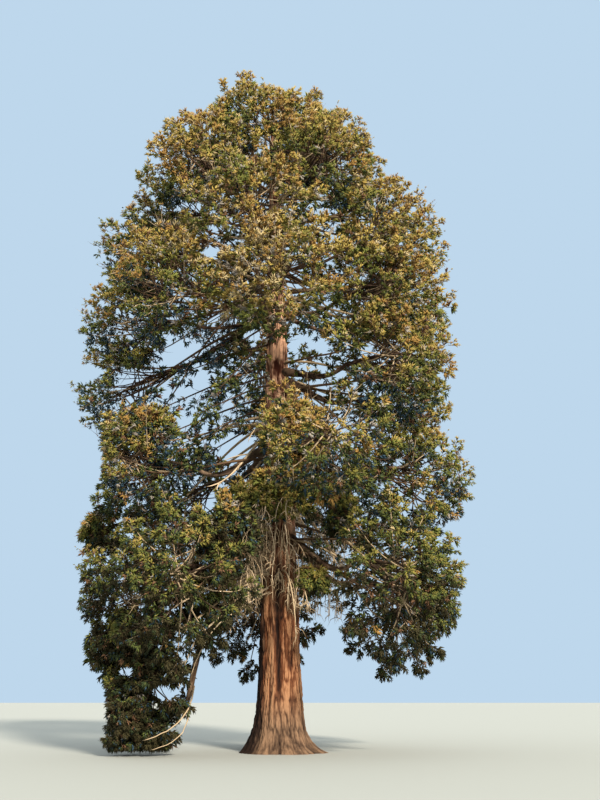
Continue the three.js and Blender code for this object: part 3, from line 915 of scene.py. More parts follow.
@dataclass
class Crown:
    """The crown: its outline, its tiers of masses, and the limbs that carry them."""

    trunk: Trunk
    top: float = 26.5
    widest_radius: float = 7.55
    widest_height: float = 14.5
    upper_curve: float = 2.1
    upper_roundness: float = 0.58
    under_taper: float = 0.07
    tiers: tuple[Tier, ...] = (
        Tier("skirt", 5.3, (2.1, 2.7, 2.7), (186, 235, 325, 30, 100)),
        Tier("low", 9.3, (2.3, 2.9, 2.3), (203, 288, 350, 60, 136)),
        Tier("middle", 12.6, (2.3, 2.9, 2.3), (181, 322, 22, 90)),
        Tier("broad", 15.8, (2.5, 2.9, 2.4), (180, 225, 272, 322, 20, 100)),
        Tier("high", 18.9, (2.5, 3.1, 2.4), (190, 260, 330, 42, 116)),
        Tier("shoulder", 21.9, (2.3, 2.9, 2.2), (168, 226, 298, 10, 92)),
        Tier("crest", 24.5, (1.9, 2.4, 1.9), (204, 282, 2, 104)),
    )
    bough_tiers: tuple[str, ...] = ("skirt", "low", "middle")
    size_spread: float = 0.1
    height_spread: float = 0.2
    reach_spread: float = 0.05
    reach_least: float = 0.985
    mass_gap: float = 0.04
    droop_low: float = 1.9
    climb_high: float = 1.2
    highest_stem: float = 24.2
    sag_low: float = 0.9
    sag_high: float = 0.25
    sag_limit: float = 0.3
    entry_share: float = 0.8
    stem_end_share: float = 0.4
    bough_radius: float = 0.15
    stem_root_radius: float = 0.105
    stem_tip_radius: float = 0.026
    high_stem_share: float = 0.62
    ground_place: Pair = (4.9, 1.43)
    masses: list[Mass] = field(default_factory=list)

    def __post_init__(self) -> None:
        """Place the masses and share out the ground between them."""
        for level, tier in enumerate(self.tiers):
            self.masses += self.tier_masses(tier, level)
        self.masses += [
            self.single("foliage_top", "crest", 901, 222, 1.15, 25.1, (1.95, 2.1, 1.45)),
            self.single("foliage_low_tuft", "skirt", 902, 246, 4.1, 6.7, (1.3, 1.3, 1.25)),
            self.single(GROUND_MASS, "skirt", 903, 199, *self.ground_place, (1.5, 1.5, 1.39)),
        ]
        for mass in self.masses:
            self.wall_in(mass)

    def radius(self, z: Reals | float) -> Reals:
        """Give half the crown's width at a height.

        Below its widest it narrows a little by a sine, and above it follows (1 - share^curve)^roundness.
        """
        z = np.asarray(z, dtype=float)
        below = np.clip((self.widest_height - z) / self.widest_height, 0.0, 1.0)
        share = np.clip((z - self.widest_height) / (self.top - self.widest_height), 0.0, 1.0)
        lower = self.widest_radius * (1.0 - self.under_taper * np.sin(below * math.pi / 2.0))
        upper = self.widest_radius * (1.0 - share**self.upper_curve) ** self.upper_roundness
        return np.where(z < self.widest_height, lower, upper)

    def share(self, z: float) -> float:
        """Give how far up the crown a height is, from 0 in the lowest tier to 1 in the highest."""
        low, high = self.tiers[0].height, self.tiers[-1].height
        return float(np.clip((z - low) / (high - low), 0.0, 1.0))

    def tier_masses(self, tier: Tier, level: int) -> list[Mass]:
        """Place one tier's masses, each leaning with the crown's slope."""
        below, above = self.radius(tier.height - 0.05), self.radius(tier.height + 0.05)
        lean = math.atan((below - above) / 0.1)
        masses = []
        for i, degrees in enumerate(tier.azimuths):
            seed, azimuth = 100 * level + i, math.radians(degrees)
            size = 1.0 + self.size_spread * (scatter(seed, 2) - 0.5)
            half = np.array(tier.half) * size
            height = tier.height + self.height_spread * tier.half[2] * (scatter(seed, 3) - 0.5)
            reach = self.radius(tier.height) * (self.reach_least + self.reach_spread * scatter(seed, 4))
            centre = self.trunk.axis(height) + outward(azimuth) * (reach - half[0] * math.cos(lean))
            centre = centre - UP * half[0] * math.sin(lean)
            out = outward(azimuth) * math.cos(lean) + UP * math.sin(lean)
            side = outward(azimuth + math.pi / 2.0)
            axes = np.stack([out, side, np.cross(out, side)])
            bough = f"bough_{tier.name}_{i + 1}" if tier.name in self.bough_tiers else None
            name = f"foliage_{tier.name}_{i + 1}"
            masses.append(Mass(name, tier.name, seed, azimuth, centre, axes, half, bough))
        return masses

    def single(
        self, name: str, tier: str, seed: int, degrees: float, radius: float, height: float, half: Place
    ) -> Mass:
        """Place one mass by its distance from the trunk and its height."""
        azimuth = math.radians(degrees)
        out, side = outward(azimuth), outward(azimuth + math.pi / 2.0)
        centre = self.trunk.axis(height) + out * radius
        return Mass(name, tier, seed, azimuth, centre, np.stack([out, side, UP]), np.array(half))

    def wall_in(self, mass: Mass) -> None:
        """Part a mass from each neighbour by a plane, which shares their distance as their sizes do."""
        normals, limits = [], []
        for other in self.masses:
            if other is mass:
                continue
            offset = other.centre - mass.centre
            distance = float(np.linalg.norm(offset))
            normal = offset / distance
            mine, theirs = mass.half_along(normal), other.half_along(normal)
            if distance < mine + theirs:
                normals.append(normal)
                limits.append(distance * mine / (mine + theirs) - self.mass_gap / 2.0)
        mass.normals, mass.limits = np.array(normals).reshape(-1, 3), np.array(limits)

    def support(self, mass: Mass) -> tuple[Reals, Reals]:
        """Give the controls of the limb that carries a mass, and where its stem ends inside it.

        The limb leaves the trunk level, sags, and comes up into the mass. Low ones start above their mass
        and high ones below it.

        Args:
            mass: The mass that it carries.

        Returns:
            Four controls, and the stem's end.
        """
        out, share = outward(mass.azimuth), self.share(mass.centre[2])
        start = min(mass.centre[2] + float(mix(self.droop_low, -self.climb_high, share)), self.highest_stem)
        root = self.trunk.axis(start)
        inwards = unit(root - mass.centre)
        entry = mass.centre + inwards * mass.reach(inwards[None])[0] * self.entry_share
        run = math.hypot(entry[0] - root[0], entry[1] - root[1])
        sag = min(float(mix(self.sag_low, self.sag_high, share)), self.sag_limit * run)
        leave = root + out * run * 0.4 + UP * 0.25 * (entry[2] - root[2])
        arrive = entry - out * run * 0.35 - UP * sag
        end = mass.centre + mass.axes[0] * mass.half[0] * self.stem_end_share
        return np.stack([root, leave, arrive, entry]), end


# Boughs and stems


@dataclass(frozen=True)
class Bend:
    """How much higher than the rule has them a limb's four controls stand, in metres."""

    mass: str
    rises: tuple[float, float, float, float]


@dataclass
class Boughs:
    """The limbs that carry the masses, and thinner ones beside them from the trunk.

    The bough to the ground runs through its bows to its elbow, each a distance from the trunk and a height.
    """

    crown: Crown
    sides: int = 12
    steps: int = 40
    stem_steps: int = 13
    stem_arch: float = 0.06
    thinning: float = 0.45
    least_radius: float = 0.05
    collar: float = 0.5
    knots_round: int = 6
    knots_up: float = 2.2
    strands_up: float = 5.0
    knot_share: float = 0.6
    hollow_share: float = 0.82
    knot_swell: float = 0.4
    ground_attach: float = 7.9
    ground_bows: tuple[Pair, ...] = ((1.5, 7.6), (2.7, 4.3))
    ground_elbow: Pair = (3.05, 2.3)
    ground_dip: float = 0.12
    ground_level: float = 0.42
    ground_knee: float = 0.9
    ground_radii: tuple[float, float, float] = (0.135, 0.092, 0.055)
    ground_stem_steps: int = 9
    helpers: int = 3
    helper_steps: int = 18
    helper_spread: float = 2.6
    helper_reach: float = 0.62
    helper_lowest: float = 2.5
    helper_radii: Pair = (0.055, 0.018)
    bend_followed: float = 0.75
    bent: tuple[Bend, ...] = (
        Bend("foliage_middle_1", (2.9, 2.1, 2.4, 1.0)),
        Bend("foliage_low_1", (0.0, -0.35, -0.5, -0.6)),
    )
    inner_lines: dict[str, Reals] = field(default_factory=dict)

    def bend(self, mass: Mass) -> Reals:
        """Give how much higher than the rule has them the four controls of a mass's limb are."""
        return next((np.array(bend.rises) for bend in self.bent if bend.mass == mass.name), np.zeros(4))

    def limb(self, path: Reals, radii: Reals, seed: int) -> Mesh:
        """Make one limb with knotty bark.

        Its surface is a tube whose radius is swelled by noise round and along it, and its relief is that
        noise.

        Args:
            path: Points of its centre line.
            radii: Radius at each point.
            seed: Which noise it has.

        Returns:
            The closed limb.
        """
        mesh = tubes(path[None], radii[None], self.sides)
        ring, side = np.divmod(np.arange((len(path) - 1) * self.sides), self.sides)
        length = np.concatenate([[0.0], np.cumsum(np.linalg.norm(np.diff(path, axis=0), axis=1))])[ring]
        knot_column, knots_up = side * self.knots_round / self.sides, length * self.knots_up
        knots = lattice_noise(knot_column, knots_up, seed, self.knots_round)
        strands = lattice_noise(side * 1.0, length * self.strands_up, seed + 1, self.sides)
        relief = self.knot_share * knots + (1.0 - self.knot_share) * strands
        middle = path[ring]
        swell = (self.hollow_share + self.knot_swell * relief)[:, None]
        mesh.points[:-1] = middle + (mesh.points[:-1] - middle) * swell
        mesh.relief = np.append(relief, 0.5)
        mesh.wear = np.full(len(mesh.points), float(scatter(seed, 5)))
        mesh.smooth = True
        return mesh

    def carried(self, mass: Mass) -> tuple[Reals, Reals]:
        """Give the path of the limb and stem that carry a mass, and their radii.

        The limb follows its Bezier line, and the stem goes on from its end to its own end inside the mass.
        """
        controls, end = self.crown.support(mass)
        controls = controls + UP * self.bend(mass)[:, None]
        line = bezier(controls[None], evenly(self.steps))[0]
        share = evenly(self.stem_steps)[1:, None]
        arch = np.sin(np.linspace(0, math.pi, self.stem_steps)[1:, None])
        inside = mix(controls[3], end, share) + UP * self.stem_arch * arch * mass.half[0]
        mass.stem = np.stack([controls[3], end])
        thick = self.crown.bough_radius
        if mass.bough is None:
            thinner = mix(1.0, self.crown.high_stem_share, self.crown.share(mass.centre[2]))
            thick = self.crown.stem_root_radius * thinner
        at_mass = max(self.thinning * thick, self.least_radius)
        radii = stretches((thick, at_mass, self.crown.stem_tip_radius), (self.steps, self.stem_steps))
        collar = 1.0 + self.collar * np.exp(-np.linspace(0.0, 9.0, len(radii)))
        return np.concatenate([line, inside]), radii * collar

    def ground_path(self, mass: Mass) -> tuple[Reals, Reals]:
        """Give the path and radii of the bough that hangs to the ground: down to its elbow, then out."""
        out, axis = outward(mass.azimuth), self.crown.trunk.axis

        def at(radius: float, height: float) -> Reals:
            """Give a point beside the trunk on the bough's side."""
            return axis(height) + out * radius

        radius, height = self.crown.ground_place
        bows = [at(*bow) for bow in (*self.ground_bows, self.ground_elbow)]
        upper = np.stack([axis(self.ground_attach), *bows])
        fall = unit(upper[3] - upper[2])
        entry = at(radius - self.crown.entry_share * mass.half[0], height - self.ground_dip)
        knee, level = upper[3] + fall * self.ground_knee, entry - out * self.ground_level
        lower = np.stack([upper[3], knee, level, entry])
        self.inner_lines[mass.name] = np.stack([upper, lower])
        end = mass.centre + out * mass.half[0] * self.crown.stem_end_share
        mass.stem = np.stack([entry, end])
        share = evenly(self.steps)
        inside = mix(entry, end, evenly(self.ground_stem_steps)[1:, None])
        path = np.concatenate([bezier(upper[None], share)[0], bezier(lower[None], share)[0][1:], inside])
        counts = (self.steps, self.steps, self.ground_stem_steps)
        return path, stretches((*self.ground_radii, self.crown.stem_tip_radius), counts)

    def beside(self, mass: Mass) -> Mesh:
        """Make the thinner limbs that run from the trunk into a mass beside the one that carries it."""
        controls, _ = self.crown.support(mass)
        k = np.arange(self.helpers)
        rise = (scatter(mass.seed, 40 + k) - 0.5) * self.helper_spread
        aim = mass.spiral(self.helpers, TURN * float(scatter(mass.seed, 44)), 1.0)
        tips = mass.centre + aim * (mass.reach(aim) * self.helper_reach)[:, None]
        rise = rise + self.bend_followed * self.bend(mass)[0]
        heights = np.clip(controls[0][2] + rise, self.helper_lowest, self.crown.highest_stem)
        starts = self.crown.trunk.axis(heights)
        run = np.linalg.norm(tips - starts, axis=1)[:, None]
        level = unit((tips - starts) * np.array([1.0, 1.0, 0.0]))
        leave, arrive = starts + level * run * 0.4, tips - level * run * 0.25 - UP * 0.12 * run
        lines = np.stack([starts, leave, arrive, tips], 1)
        self.inner_lines[mass.name] = np.concatenate([controls[None], lines])
        paths = bezier(lines, evenly(self.helper_steps))
        thickness = (0.75 + 0.5 * scatter(mass.seed, 50 + k))[:, None]
        radii = np.linspace(*self.helper_radii, self.helper_steps)[None] * thickness
        return tubes(paths, radii, 5, np.where(scatter(mass.seed, 60 + k) > 0.6, GREY, LIVING))

    def build(self) -> None:
        """Make the boughs, the stems of the masses that grow from the trunk, and the thinner limbs."""
        bark = BarkFinish(
            "bough_bark", (34, 25, 20), (86, 66, 51), (138, 116, 94), (110, 94, 78), 1.0, (104, 82, 66),
            (34, 25, 20), fibre=1.0, grain=9.0,
        ).material()
        groups: dict[str, list[Mesh]] = {}
        nodes: dict[str, list[str]] = {}
        for mass in self.crown.masses:
            path, radii = self.ground_path(mass) if mass.on_ground else self.carried(mass)
            group = f"boughs_{mass.tier}" if mass.bough or mass.on_ground else "crown_stems"
            groups.setdefault(group, []).append(self.limb(path, radii, mass.seed))
            found = ["bough_ground_upper", "bough_ground_lower"] if mass.on_ground else [mass.bough]
            nodes.setdefault(group, []).extend(node for node in found if node)
        for group, limbs in groups.items():
            make_piece(group, joined(limbs), [bark], nodes[group])
        others = joined(self.beside(mass) for mass in self.crown.masses if not mass.on_ground)
        make_piece("thin_boughs", others, THIN_BARK.materials())


# Foliage


@dataclass
class SprayShape:
    """One spray of needles: a middle cord with side cords, each a closed splinter of four faces.

    Sizes are shares of the spray's length.
    """

    pairs: int = 2
    first: float = 0.06
    spacing: float = 0.25
    open_angle: float = math.radians(33)
    close_by: float = math.radians(6)
    side_length: float = 0.68
    shorten_by: float = 0.12
    thickness: float = 0.168
    widest: float = 0.45
    lift: float = 0.34

    def build(self) -> tuple[Reals, Whole]:
        """Give the spray's points and triangles, along +X with +Z over it.

        A cord has its root, its tip, and two points at its widest that stand off it to either side of one
        direction, so that its section is a triangle of equal sides.
        """
        j = np.repeat(np.arange(self.pairs), 2)
        side = np.tile([-1.0, 1.0], self.pairs)
        angle = self.open_angle - self.close_by * j
        length = self.side_length - self.shorten_by * j
        roots = np.stack([self.first + self.spacing * j + 0.05 * side, 0.0 * j, 0.0 * j], -1)
        rise = self.lift * np.where(side * np.where(j % 2 == 0, 1.0, -1.0) > 0.0, 1.0, -0.7)
        aims = np.stack([np.cos(angle), side * np.sin(angle), rise], -1)
        roots = np.concatenate([[[-0.06, 0.0, 0.0]], roots])
        tips = np.concatenate([[[1.0, 0.0, 0.0]], roots[1:] + aims * length[:, None]])
        heading = unit(tips - roots)
        across = unit(np.cross(UP, heading))
        over = np.cross(heading, across)
        middle = mix(roots, tips, self.widest)
        third = math.pi / 6.0
        low = middle + self.thickness * (across * math.sin(-third) + over * math.cos(third))
        high = middle + self.thickness * (across * math.sin(third) + over * math.cos(third))
        points = np.stack([roots, tips, high, low], axis=1)
        faces = np.array([[0, 2, 1], [0, 1, 3], [0, 3, 2], [1, 2, 3]])
        starts = 4 * np.arange(len(points))[:, None, None]
        return points.reshape(-1, 3), (faces[None] + starts).reshape(-1, 3)


@dataclass
class Twigs:
    """Twigs that carry sprays, as arrays with a row for each.

    Besides where they start and head, they say how many sprays a twig bears and how large, and the middle and
    the size of the tuft that it belongs to.
    """

    root: Reals
    heading: Reals
    length: Reals
    seed: Reals
    painted_sun_and_tone: Reals
    number: Whole
    scale: Reals
    middle: Reals
    swell: Reals

    @classmethod
    def of(cls, *grids: Reals) -> "Twigs":
        """Make twigs from arrays with a row for each limb and a column for each of its twigs."""
        return cls(*(grid.reshape(-1, *grid.shape[2:]) for grid in grids))


@dataclass(frozen=True)
class Oval:
    """A place in the crown, by where it is seen in the upright plane of the trunk.

    x and z are its middle, and half_width and half_height its size there. A gap or a hollow runs along the
    line of sight from the ground, so it slants up towards the back and widens with the distance.
    """

    x: float
    z: float
    half_width: float
    half_height: float

    def offsets(self, seen: Reals) -> tuple[Reals, Reals]:
        """Give how far points of that plane are from its middle, across and up, in its half sizes."""
        return (seen[..., 0] - self.x) / self.half_width, (seen[..., 2] - self.z) / self.half_height

    def away(self, seen: Reals) -> Reals:
        """Give how far points of that plane are from its middle, 1 being its edge."""
        return np.hypot(*self.offsets(seen))

    def bell(self, seen: Reals) -> Reals:
        """Give 1 at its middle and less away from it, by a bell of both offsets."""
        across, up = self.offsets(seen)
        return np.exp(-(across**2) - up**2)


@dataclass(frozen=True)
class Tuft:
    """A lump of foliage that fills a place of its own between the masses, on a short limb.

    Its place is an azimuth in degrees, a distance from the trunk and a height, and its limb starts elsewhere,
    mostly nearer the trunk. Its sprays go with those of its tier.
    """

    name: str
    azimuth: float
    radius: float
    height: float
    half: tuple[float, float, float]
    start_radius: float
    start_height: float
    boughlets: int
    # How much sunnier or shadier its sprays' tints are, as painted sun or painted shade.
    painted_sun_shift: float
    tier: str = "low"


@dataclass
class Foliage:
    """Fills the masses with boughlets, twigs and sprays, grown by one seeded rule.

    Gaps are openings right through the crown, and hollows dark places in its front. The edge is the least
    distance of their ragged edges and its spread. Sags and lifts go from low in the crown to high, and
    openings from a twig's root to its tip.
    """

    crown: Crown
    boughs: Boughs
    boughlets: int = 35
    least_boughlets: int = 18
    full_size: float = 2.55
    pole_reach: float = 1.72
    crowding: float = 1.35
    tip_share: float = 0.91
    overhang: float = 1.04
    skirt_hang: float = 1.18
    left_ease: float = 0.32
    side_twigs: int = 6
    twig_length: float = 0.5
    tuft_radius: float = 0.66
    sprays: float = 6.3
    inner_sprays: float = 2.9
    spray_length: float = 0.275
    inner_scale: float = 1.5
    inner_depth: Pair = (1.6, 3.0)
    wall_ease: float = 0.25
    layer_top: float = 15.0
    layer_twigs: int = 7
    layer_length: float = 0.8
    layer_sprays: int = 5
    ground_boughlets: int = 40
    # The mass on the ground gets shadier tints, as painted shade.
    ground_painted_shade: float = -0.14
    tuft_sprays: int = 8
    tuft_scale: float = 1.06
    tufts: tuple[Tuft, ...] = (
        Tuft("front", 288, 2.15, 10.5, (1.05, 1.2, 1.25), 0.0, 11.3, 30, 0.56),
        Tuft("right_veil", 322, 2.3, 8.1, (0.9, 1.0, 1.1), 0.6, 9.2, 12, 0.06),
        Tuft("right_low", 313, 1.7, 5.5, (0.6, 0.6, 0.5), 0.6, 6.4, 7, 0.26),
        Tuft("left_lump", 198, 4.9, 10.4, (1.6, 1.4, 1.1), 3.4, 10.9, 15, 0.08),
        Tuft("left_tip", 182, 6.35, 7.4, (0.75, 0.9, 0.7), 5.2, 8.0, 9, 0.08),
        Tuft("front_mid", 272, 2.1, 8.4, (1.1, 1.1, 0.85), 0.0, 9.4, 15, 0.42),
        Tuft("foot", 205, 4.25, 0.75, (0.8, 0.8, 0.55), 4.0, 1.7, 10, -0.16),
        Tuft("front_low", 236, 2.4, 7.8, (1.0, 1.1, 1.1), 0.0, 8.6, 13, 0.1),
        Tuft("drape_inner", 222, 3.0, 5.2, (1.0, 1.3, 1.5), 2.6, 6.8, 15, 0.28),
        Tuft("drape_high", 203, 4.5, 3.7, (1.3, 1.6, 1.5), 4.2, 5.6, 20, 0.05),
        Tuft("drape_low", 207, 4.3, 2.2, (1.2, 1.4, 1.4), 4.0, 4.2, 20, -0.06),
        Tuft("drape_left", 190, 5.3, 3.1, (1.2, 1.3, 1.5), 5.0, 4.8, 16, -0.06),
        Tuft("top_leader", 30, 0.6, 25.0, (1.1, 1.1, 0.85), 0.0, 24.6, 10, 0.0, "crest"),
        Tuft("top_left", 158, 2.2, 23.6, (1.35, 1.35, 1.0), 0.0, 23.0, 14, 0.0, "crest"),
        Tuft("top_back", 52, 2.1, 23.7, (1.3, 1.3, 1.0), 0.0, 23.1, 13, 0.0, "crest"),
        Tuft("top_right", 340, 1.9, 24.0, (1.1, 1.1, 0.9), 0.0, 23.4, 9, 0.0, "crest"),
        Tuft("top_rear", 128, 1.5, 23.9, (1.2, 1.2, 0.95), 0.0, 23.5, 11, 0.0, "crest"),
    )
    gaps: tuple[Oval, ...] = (
        Oval(-1.6, 10.55, 0.8, 0.62),
        Oval(-2.67, 8.55, 0.33, 0.45),
        Oval(-7.7, 13.6, 0.85, 0.37),
        Oval(-5.55, 13.4, 0.8, 0.37),
        Oval(-3.13, 13.2, 0.35, 0.55),
        Oval(-4.46, 14.2, 0.3, 0.35),
        Oval(-1.2, 15.2, 0.43, 0.3),
        Oval(0.52, 14.7, 0.23, 0.38),
        Oval(0.4, 17.6, 0.36, 0.75),
        Oval(-2.9, 18.9, 0.37, 0.32),
        Oval(-2.86, 19.95, 0.25, 0.2),
        Oval(-0.64, 24.1, 0.26, 0.4),
        Oval(-5.45, 21.4, 0.21, 0.15),
        Oval(-3.8, 21.0, 0.42, 0.2),
        Oval(-3.8, 16.9, 0.24, 0.22),
        Oval(-2.6, 16.2, 0.24, 0.4),
        Oval(-2.07, 12.3, 0.19, 0.57),
        Oval(-1.45, 13.1, 0.15, 0.65),
        Oval(-3.7, 11.5, 0.23, 0.4),
        Oval(-4.0, 26.85, 1.2, 1.1),
        Oval(-6.5, 23.7, 0.68, 1.0),
        Oval(-7.65, 21.2, 1.12, 0.67),
        Oval(-7.5, 9.95, 0.8, 1.5),
        Oval(-7.5, 5.35, 0.43, 0.8),
        Oval(-7.0, 1.15, 1.25, 1.9),
        Oval(-7.2, 3.65, 0.42, 0.9),
        Oval(0.35, 27.6, 1.35, 0.7),
        Oval(2.66, 27.4, 1.3, 0.7),
        Oval(-4.1, 1.95, 0.35, 0.22),
        Oval(-5.3, 2.6, 0.3, 0.2),
    )
    hollows: tuple[Oval, ...] = (
        Oval(-4.95, 20.6, 1.0, 0.5),
        Oval(-0.7, 21.4, 0.4, 0.75),
        Oval(-5.5, 17.2, 0.75, 0.6),
        Oval(-7.0, 18.5, 0.5, 0.55),
        Oval(-6.3, 15.7, 0.5, 0.6),
        Oval(-5.6, 10.2, 0.6, 0.5),
        Oval(-3.5, 6.8, 0.6, 0.4),
        Oval(1.3, 13.1, 0.6, 0.6),
        Oval(-1.4, 23.6, 0.6, 0.35),
        Oval(-2.1, 19.5, 0.8, 0.4),
        Oval(2.2, 18.2, 0.6, 0.6),
        Oval(3.9, 14.6, 0.8, 0.5),
        Oval(4.2, 21.0, 0.7, 0.5),
        Oval(4.6, 10.1, 0.9, 0.45),
        Oval(-3.3, 22.9, 0.55, 0.35),
        Oval(-5.2, 5.0, 0.55, 0.4),
        Oval(2.0, 23.4, 0.6, 0.35),
        Oval(-1.35, 9.8, 0.4, 0.3),
        Oval(-2.0, 9.3, 0.4, 0.3),
    )
    hollow_depth: float = -1.3
    edge: Pair = (0.8, 0.35)
    thin_place: Oval = Oval(-3.2, 13.7, 2.3, 1.75)
    # Where the crown is paler: partly painted light, and partly more straw and dusty sprays.
    pale_and_painted_light_place: Oval = Oval(-1.6, 18.3, 1.9, 3.0)
    light_place: Oval = Oval(0.35, 9.4, 1.25, 2.3)
    light_plane: float = -2.1
    light_start: float = 1.2
    boughlet_sag: Pair = (0.14, 0.05)
    twig_lift: Pair = (-0.3, 0.3)
    spray_lift: Pair = (-0.65, 0.2)
    spray_opening: Pair = (math.radians(70), math.radians(16))
    tuft_core: float = 0.84
    grey_share: float = 0.75
    fans: int = 13
    fan_twigs: int = 14
    fan_azimuths: Pair = (194, 256)
    fan_heights: Pair = (11.6, 17.2)
    fan_run: Pair = (3.2, 5.8)
    fan_fall: Pair = (0.42, 0.78)
    fan_hang: float = 0.75
    piece_limit: int = 190_000
    shape: SprayShape = field(default_factory=SprayShape)

    def seen(self, points: Reals) -> Reals:
        """Bring points along their lines of sight from the ground into the upright plane of the trunk."""
        eye = np.array(EYE)
        return eye + (points - eye) * (eye[1] / (eye[1] - points[..., 1]))[..., None]

    def thinness(self, points: Reals) -> Reals:
        """Give from 0 to 1 how thin the crown is at a point: it opens on the left about halfway up."""
        return self.thin_place.bell(self.seen(points))

    def nearest(self, points: Reals, places: tuple[Oval, ...]) -> Reals:
        """Give how far points are from the middle of the nearest of some places, 1 being its edge."""
        seen = self.seen(points)
        return np.min([place.away(seen) for place in places], axis=0)

    def closed(self, points: Reals) -> Reals:
        """Give under 1 for points in a gap of the crown, and more the further they are from one."""
        return self.nearest(points, self.gaps)

    def ragged(self, seed: Reals, draw: float) -> Reals:
        """Give how far from its middle the ragged edge of a hollow or an opening runs."""
        return self.edge[0] + self.edge[1] * scatter(seed, draw)

    def in_hollow(self, points: Reals, seed: Reals) -> Reals:
        """Give True for points in a dark hollow of the crown's front, whose edge is ragged by the seeds."""
        front = points[..., 1] < self.hollow_depth
        return front & (self.nearest(points, self.hollows) < self.ragged(seed, 17.0))

    def in_light(self, points: Reals, seed: Reals) -> Reals:
        """Give True for points in the opening through which the sun falls on the front tuft.

        A point is brought along the sun's rays into an upright plane through the tuft, where the opening is
        an ellipse.
        """
        far = (points[..., 1] - self.light_plane) / SUNWARD[1]
        struck = points - far[..., None] * SUNWARD
        return (far > self.light_start) & (self.light_place.away(struck) < self.ragged(seed, 18.0))

    def inwards(self, points: Reals) -> Reals:
        """Give how far inside the crown's outline points lie, in metres."""
        axis = self.crown.trunk.axis(points[..., 2])
        return self.crown.radius(points[..., 2]) - np.linalg.norm((points - axis)[..., :2], axis=-1)

    def paleness_and_painted_light(self, points: Reals) -> Reals:
        """Give from 0 to 1 how pale the crown is at a point, partly as painted light: it is palest before the
        upper trunk.
        """
        return step_up(-points[..., 1], -0.5, 1.5) * self.pale_and_painted_light_place.bell(self.seen(points))

    def painted_sun_and_tone(self, points: Reals) -> Reals:
        """Give how sunny a place in the crown is.

        It is more high up, partly as the foliage's own bronze tone and partly as painted sun, more on the
        sun's side and where the crown is pale, as painted light, and less round the left rim, inside the
        crown and where it is thin, as painted shade.
        """
        axis = self.crown.trunk.axis(points[..., 2])
        bearing = np.arctan2(points[..., 1] - axis[..., 1], points[..., 0] - axis[..., 0])
        height = step_up(points[..., 2], 3.0, 15.0)
        sunny = np.cos(bearing - SUN_AZIMUTH)
        inwards = np.minimum(self.inwards(points), 3.0)
        rim = np.exp(-(((np.abs(bearing) - math.pi) / 0.36) ** 2)) * height
        painted_sun_and_tone = 0.4 + 0.3 * height + 0.09 * sunny + 0.38 * self.paleness_and_painted_light(points) - 0.22 * rim
        return painted_sun_and_tone - 0.1 * inwards - 0.22 * self.thinness(points)

    def boughlets_of(self, mass: Mass) -> tuple[Reals, Reals, Reals]:
        """Grow a mass's boughlets.

        They leave its stem in order, head for the directions of the mass's spiral, and stop short of its
        edge. The lower in the crown, the more they sag before their tips rise.

        Args:
            mass: The mass to fill.

        Returns:
            Their paths as an array of boughlets by 4 controls by 3, their directions and their seeds.
        """
        size = float(np.cbrt(np.prod(mass.half))) / self.full_size
        count = mass.boughlets or max(self.least_boughlets, round(self.boughlets * size**2))
        k = np.arange(count)
        aims = mass.spiral(count, TURN * float(scatter(mass.seed, 8)), self.pole_reach, self.crowding)
        share = self.tip_share * (0.84 + 0.2 * scatter(mass.seed + 0.5, 3 * k))
        reach = mass.reach(aims, self.wall_ease)
        tips = mass.centre + aims * np.minimum(reach * share, reach - 0.2)[:, None]
        roots = mix(mass.stem[0], mass.stem[1], (k / count)[:, None])
        steps = np.linspace(0.3, 1.0, 8)
        clear = self.closed(mix(roots[:, None], tips[:, None], steps[:, None])) > 1.0
        tips = mix(roots, tips, np.where(clear, steps, 0.3).max(axis=1)[:, None])
        run = np.linalg.norm(tips - roots, axis=1)[:, None]
        sag = float(mix(*self.boughlet_sag, self.crown.share(mass.centre[2])))
        leave = mix(roots, tips, 0.35) - UP * sag * run
        arrive = mix(roots, tips, 0.75) - UP * 1.3 * sag * run
        return np.stack([roots, leave, arrive, tips], axis=1), aims, 10.0 * mass.seed + k

    def twigs_of(self, mass: Mass, controls: Reals, aims: Reals, seeds: Reals) -> Twigs:
        """Grow the twigs of a mass's boughlets, which make a rounded tuft about each boughlet's end.

        They leave the boughlet's outer half by the golden angle, wide open at first and nearly along it at
        its tip. Low in the crown they hang a little, and high up they rise.

        Args:
            mass: The mass.
            controls: The boughlets' controls.
            aims: Their directions.
            seeds: Their seeds.

        Returns:
            The twigs.
        """
        count, per = len(controls), self.side_twigs + 1
        shares = np.append(np.linspace(0.6, 0.93, self.side_twigs), 0.98)
        places, tangents = places_on(controls, shares)
        twig = np.arange(per)
        seed = seeds[:, None] * 7.0 + twig
        square = unit(np.cross(tangents, ASLANT))
        aside = turned(square, tangents, GOLDEN_ANGLE * twig + TURN * scatter(seeds, 4.0)[:, None])
        opening = np.radians(np.append(np.linspace(78, 48, self.side_twigs), 8.0))
        opening = opening * (0.8 + 0.4 * scatter(seed, 2.0))
        heading = tangents * np.cos(opening)[..., None] + aside * np.sin(opening)[..., None]
        lift = float(mix(*self.twig_lift, self.crown.share(mass.centre[2])))
        heading = unit(heading + lift * UP + 0.25 * aims[:, None])
        swell = np.append(np.linspace(1.15, 0.9, self.side_twigs), 0.85)
        length = self.twig_length * swell * (0.75 + 0.5 * scatter(seed, 3.0))
        tips = places + heading * length[..., None]
        over = mass.depth(tips.reshape(-1, 3), self.wall_ease).reshape(count, per)
        length = length * np.clip(1.0 - 2.2 * (over - 0.97), 0.3, 1.0)
        middle = places + heading * 0.7 * length[..., None]
        side = along(middle - controls[:, 3][:, None], UP) / self.twig_length
        lump = np.clip(along(middle - mass.centre, UP) / mass.half[2], -1.0, 1.0)
        clump = scatter(seeds, 5.0)[:, None] - 0.5
        clump = clump * (1.0 - 0.5 * step_up(self.inwards(middle), 1.5, 3.0))
        clump = clump * (0.6 + 0.4 * step_up(middle[..., 2], 5.0, 10.0))
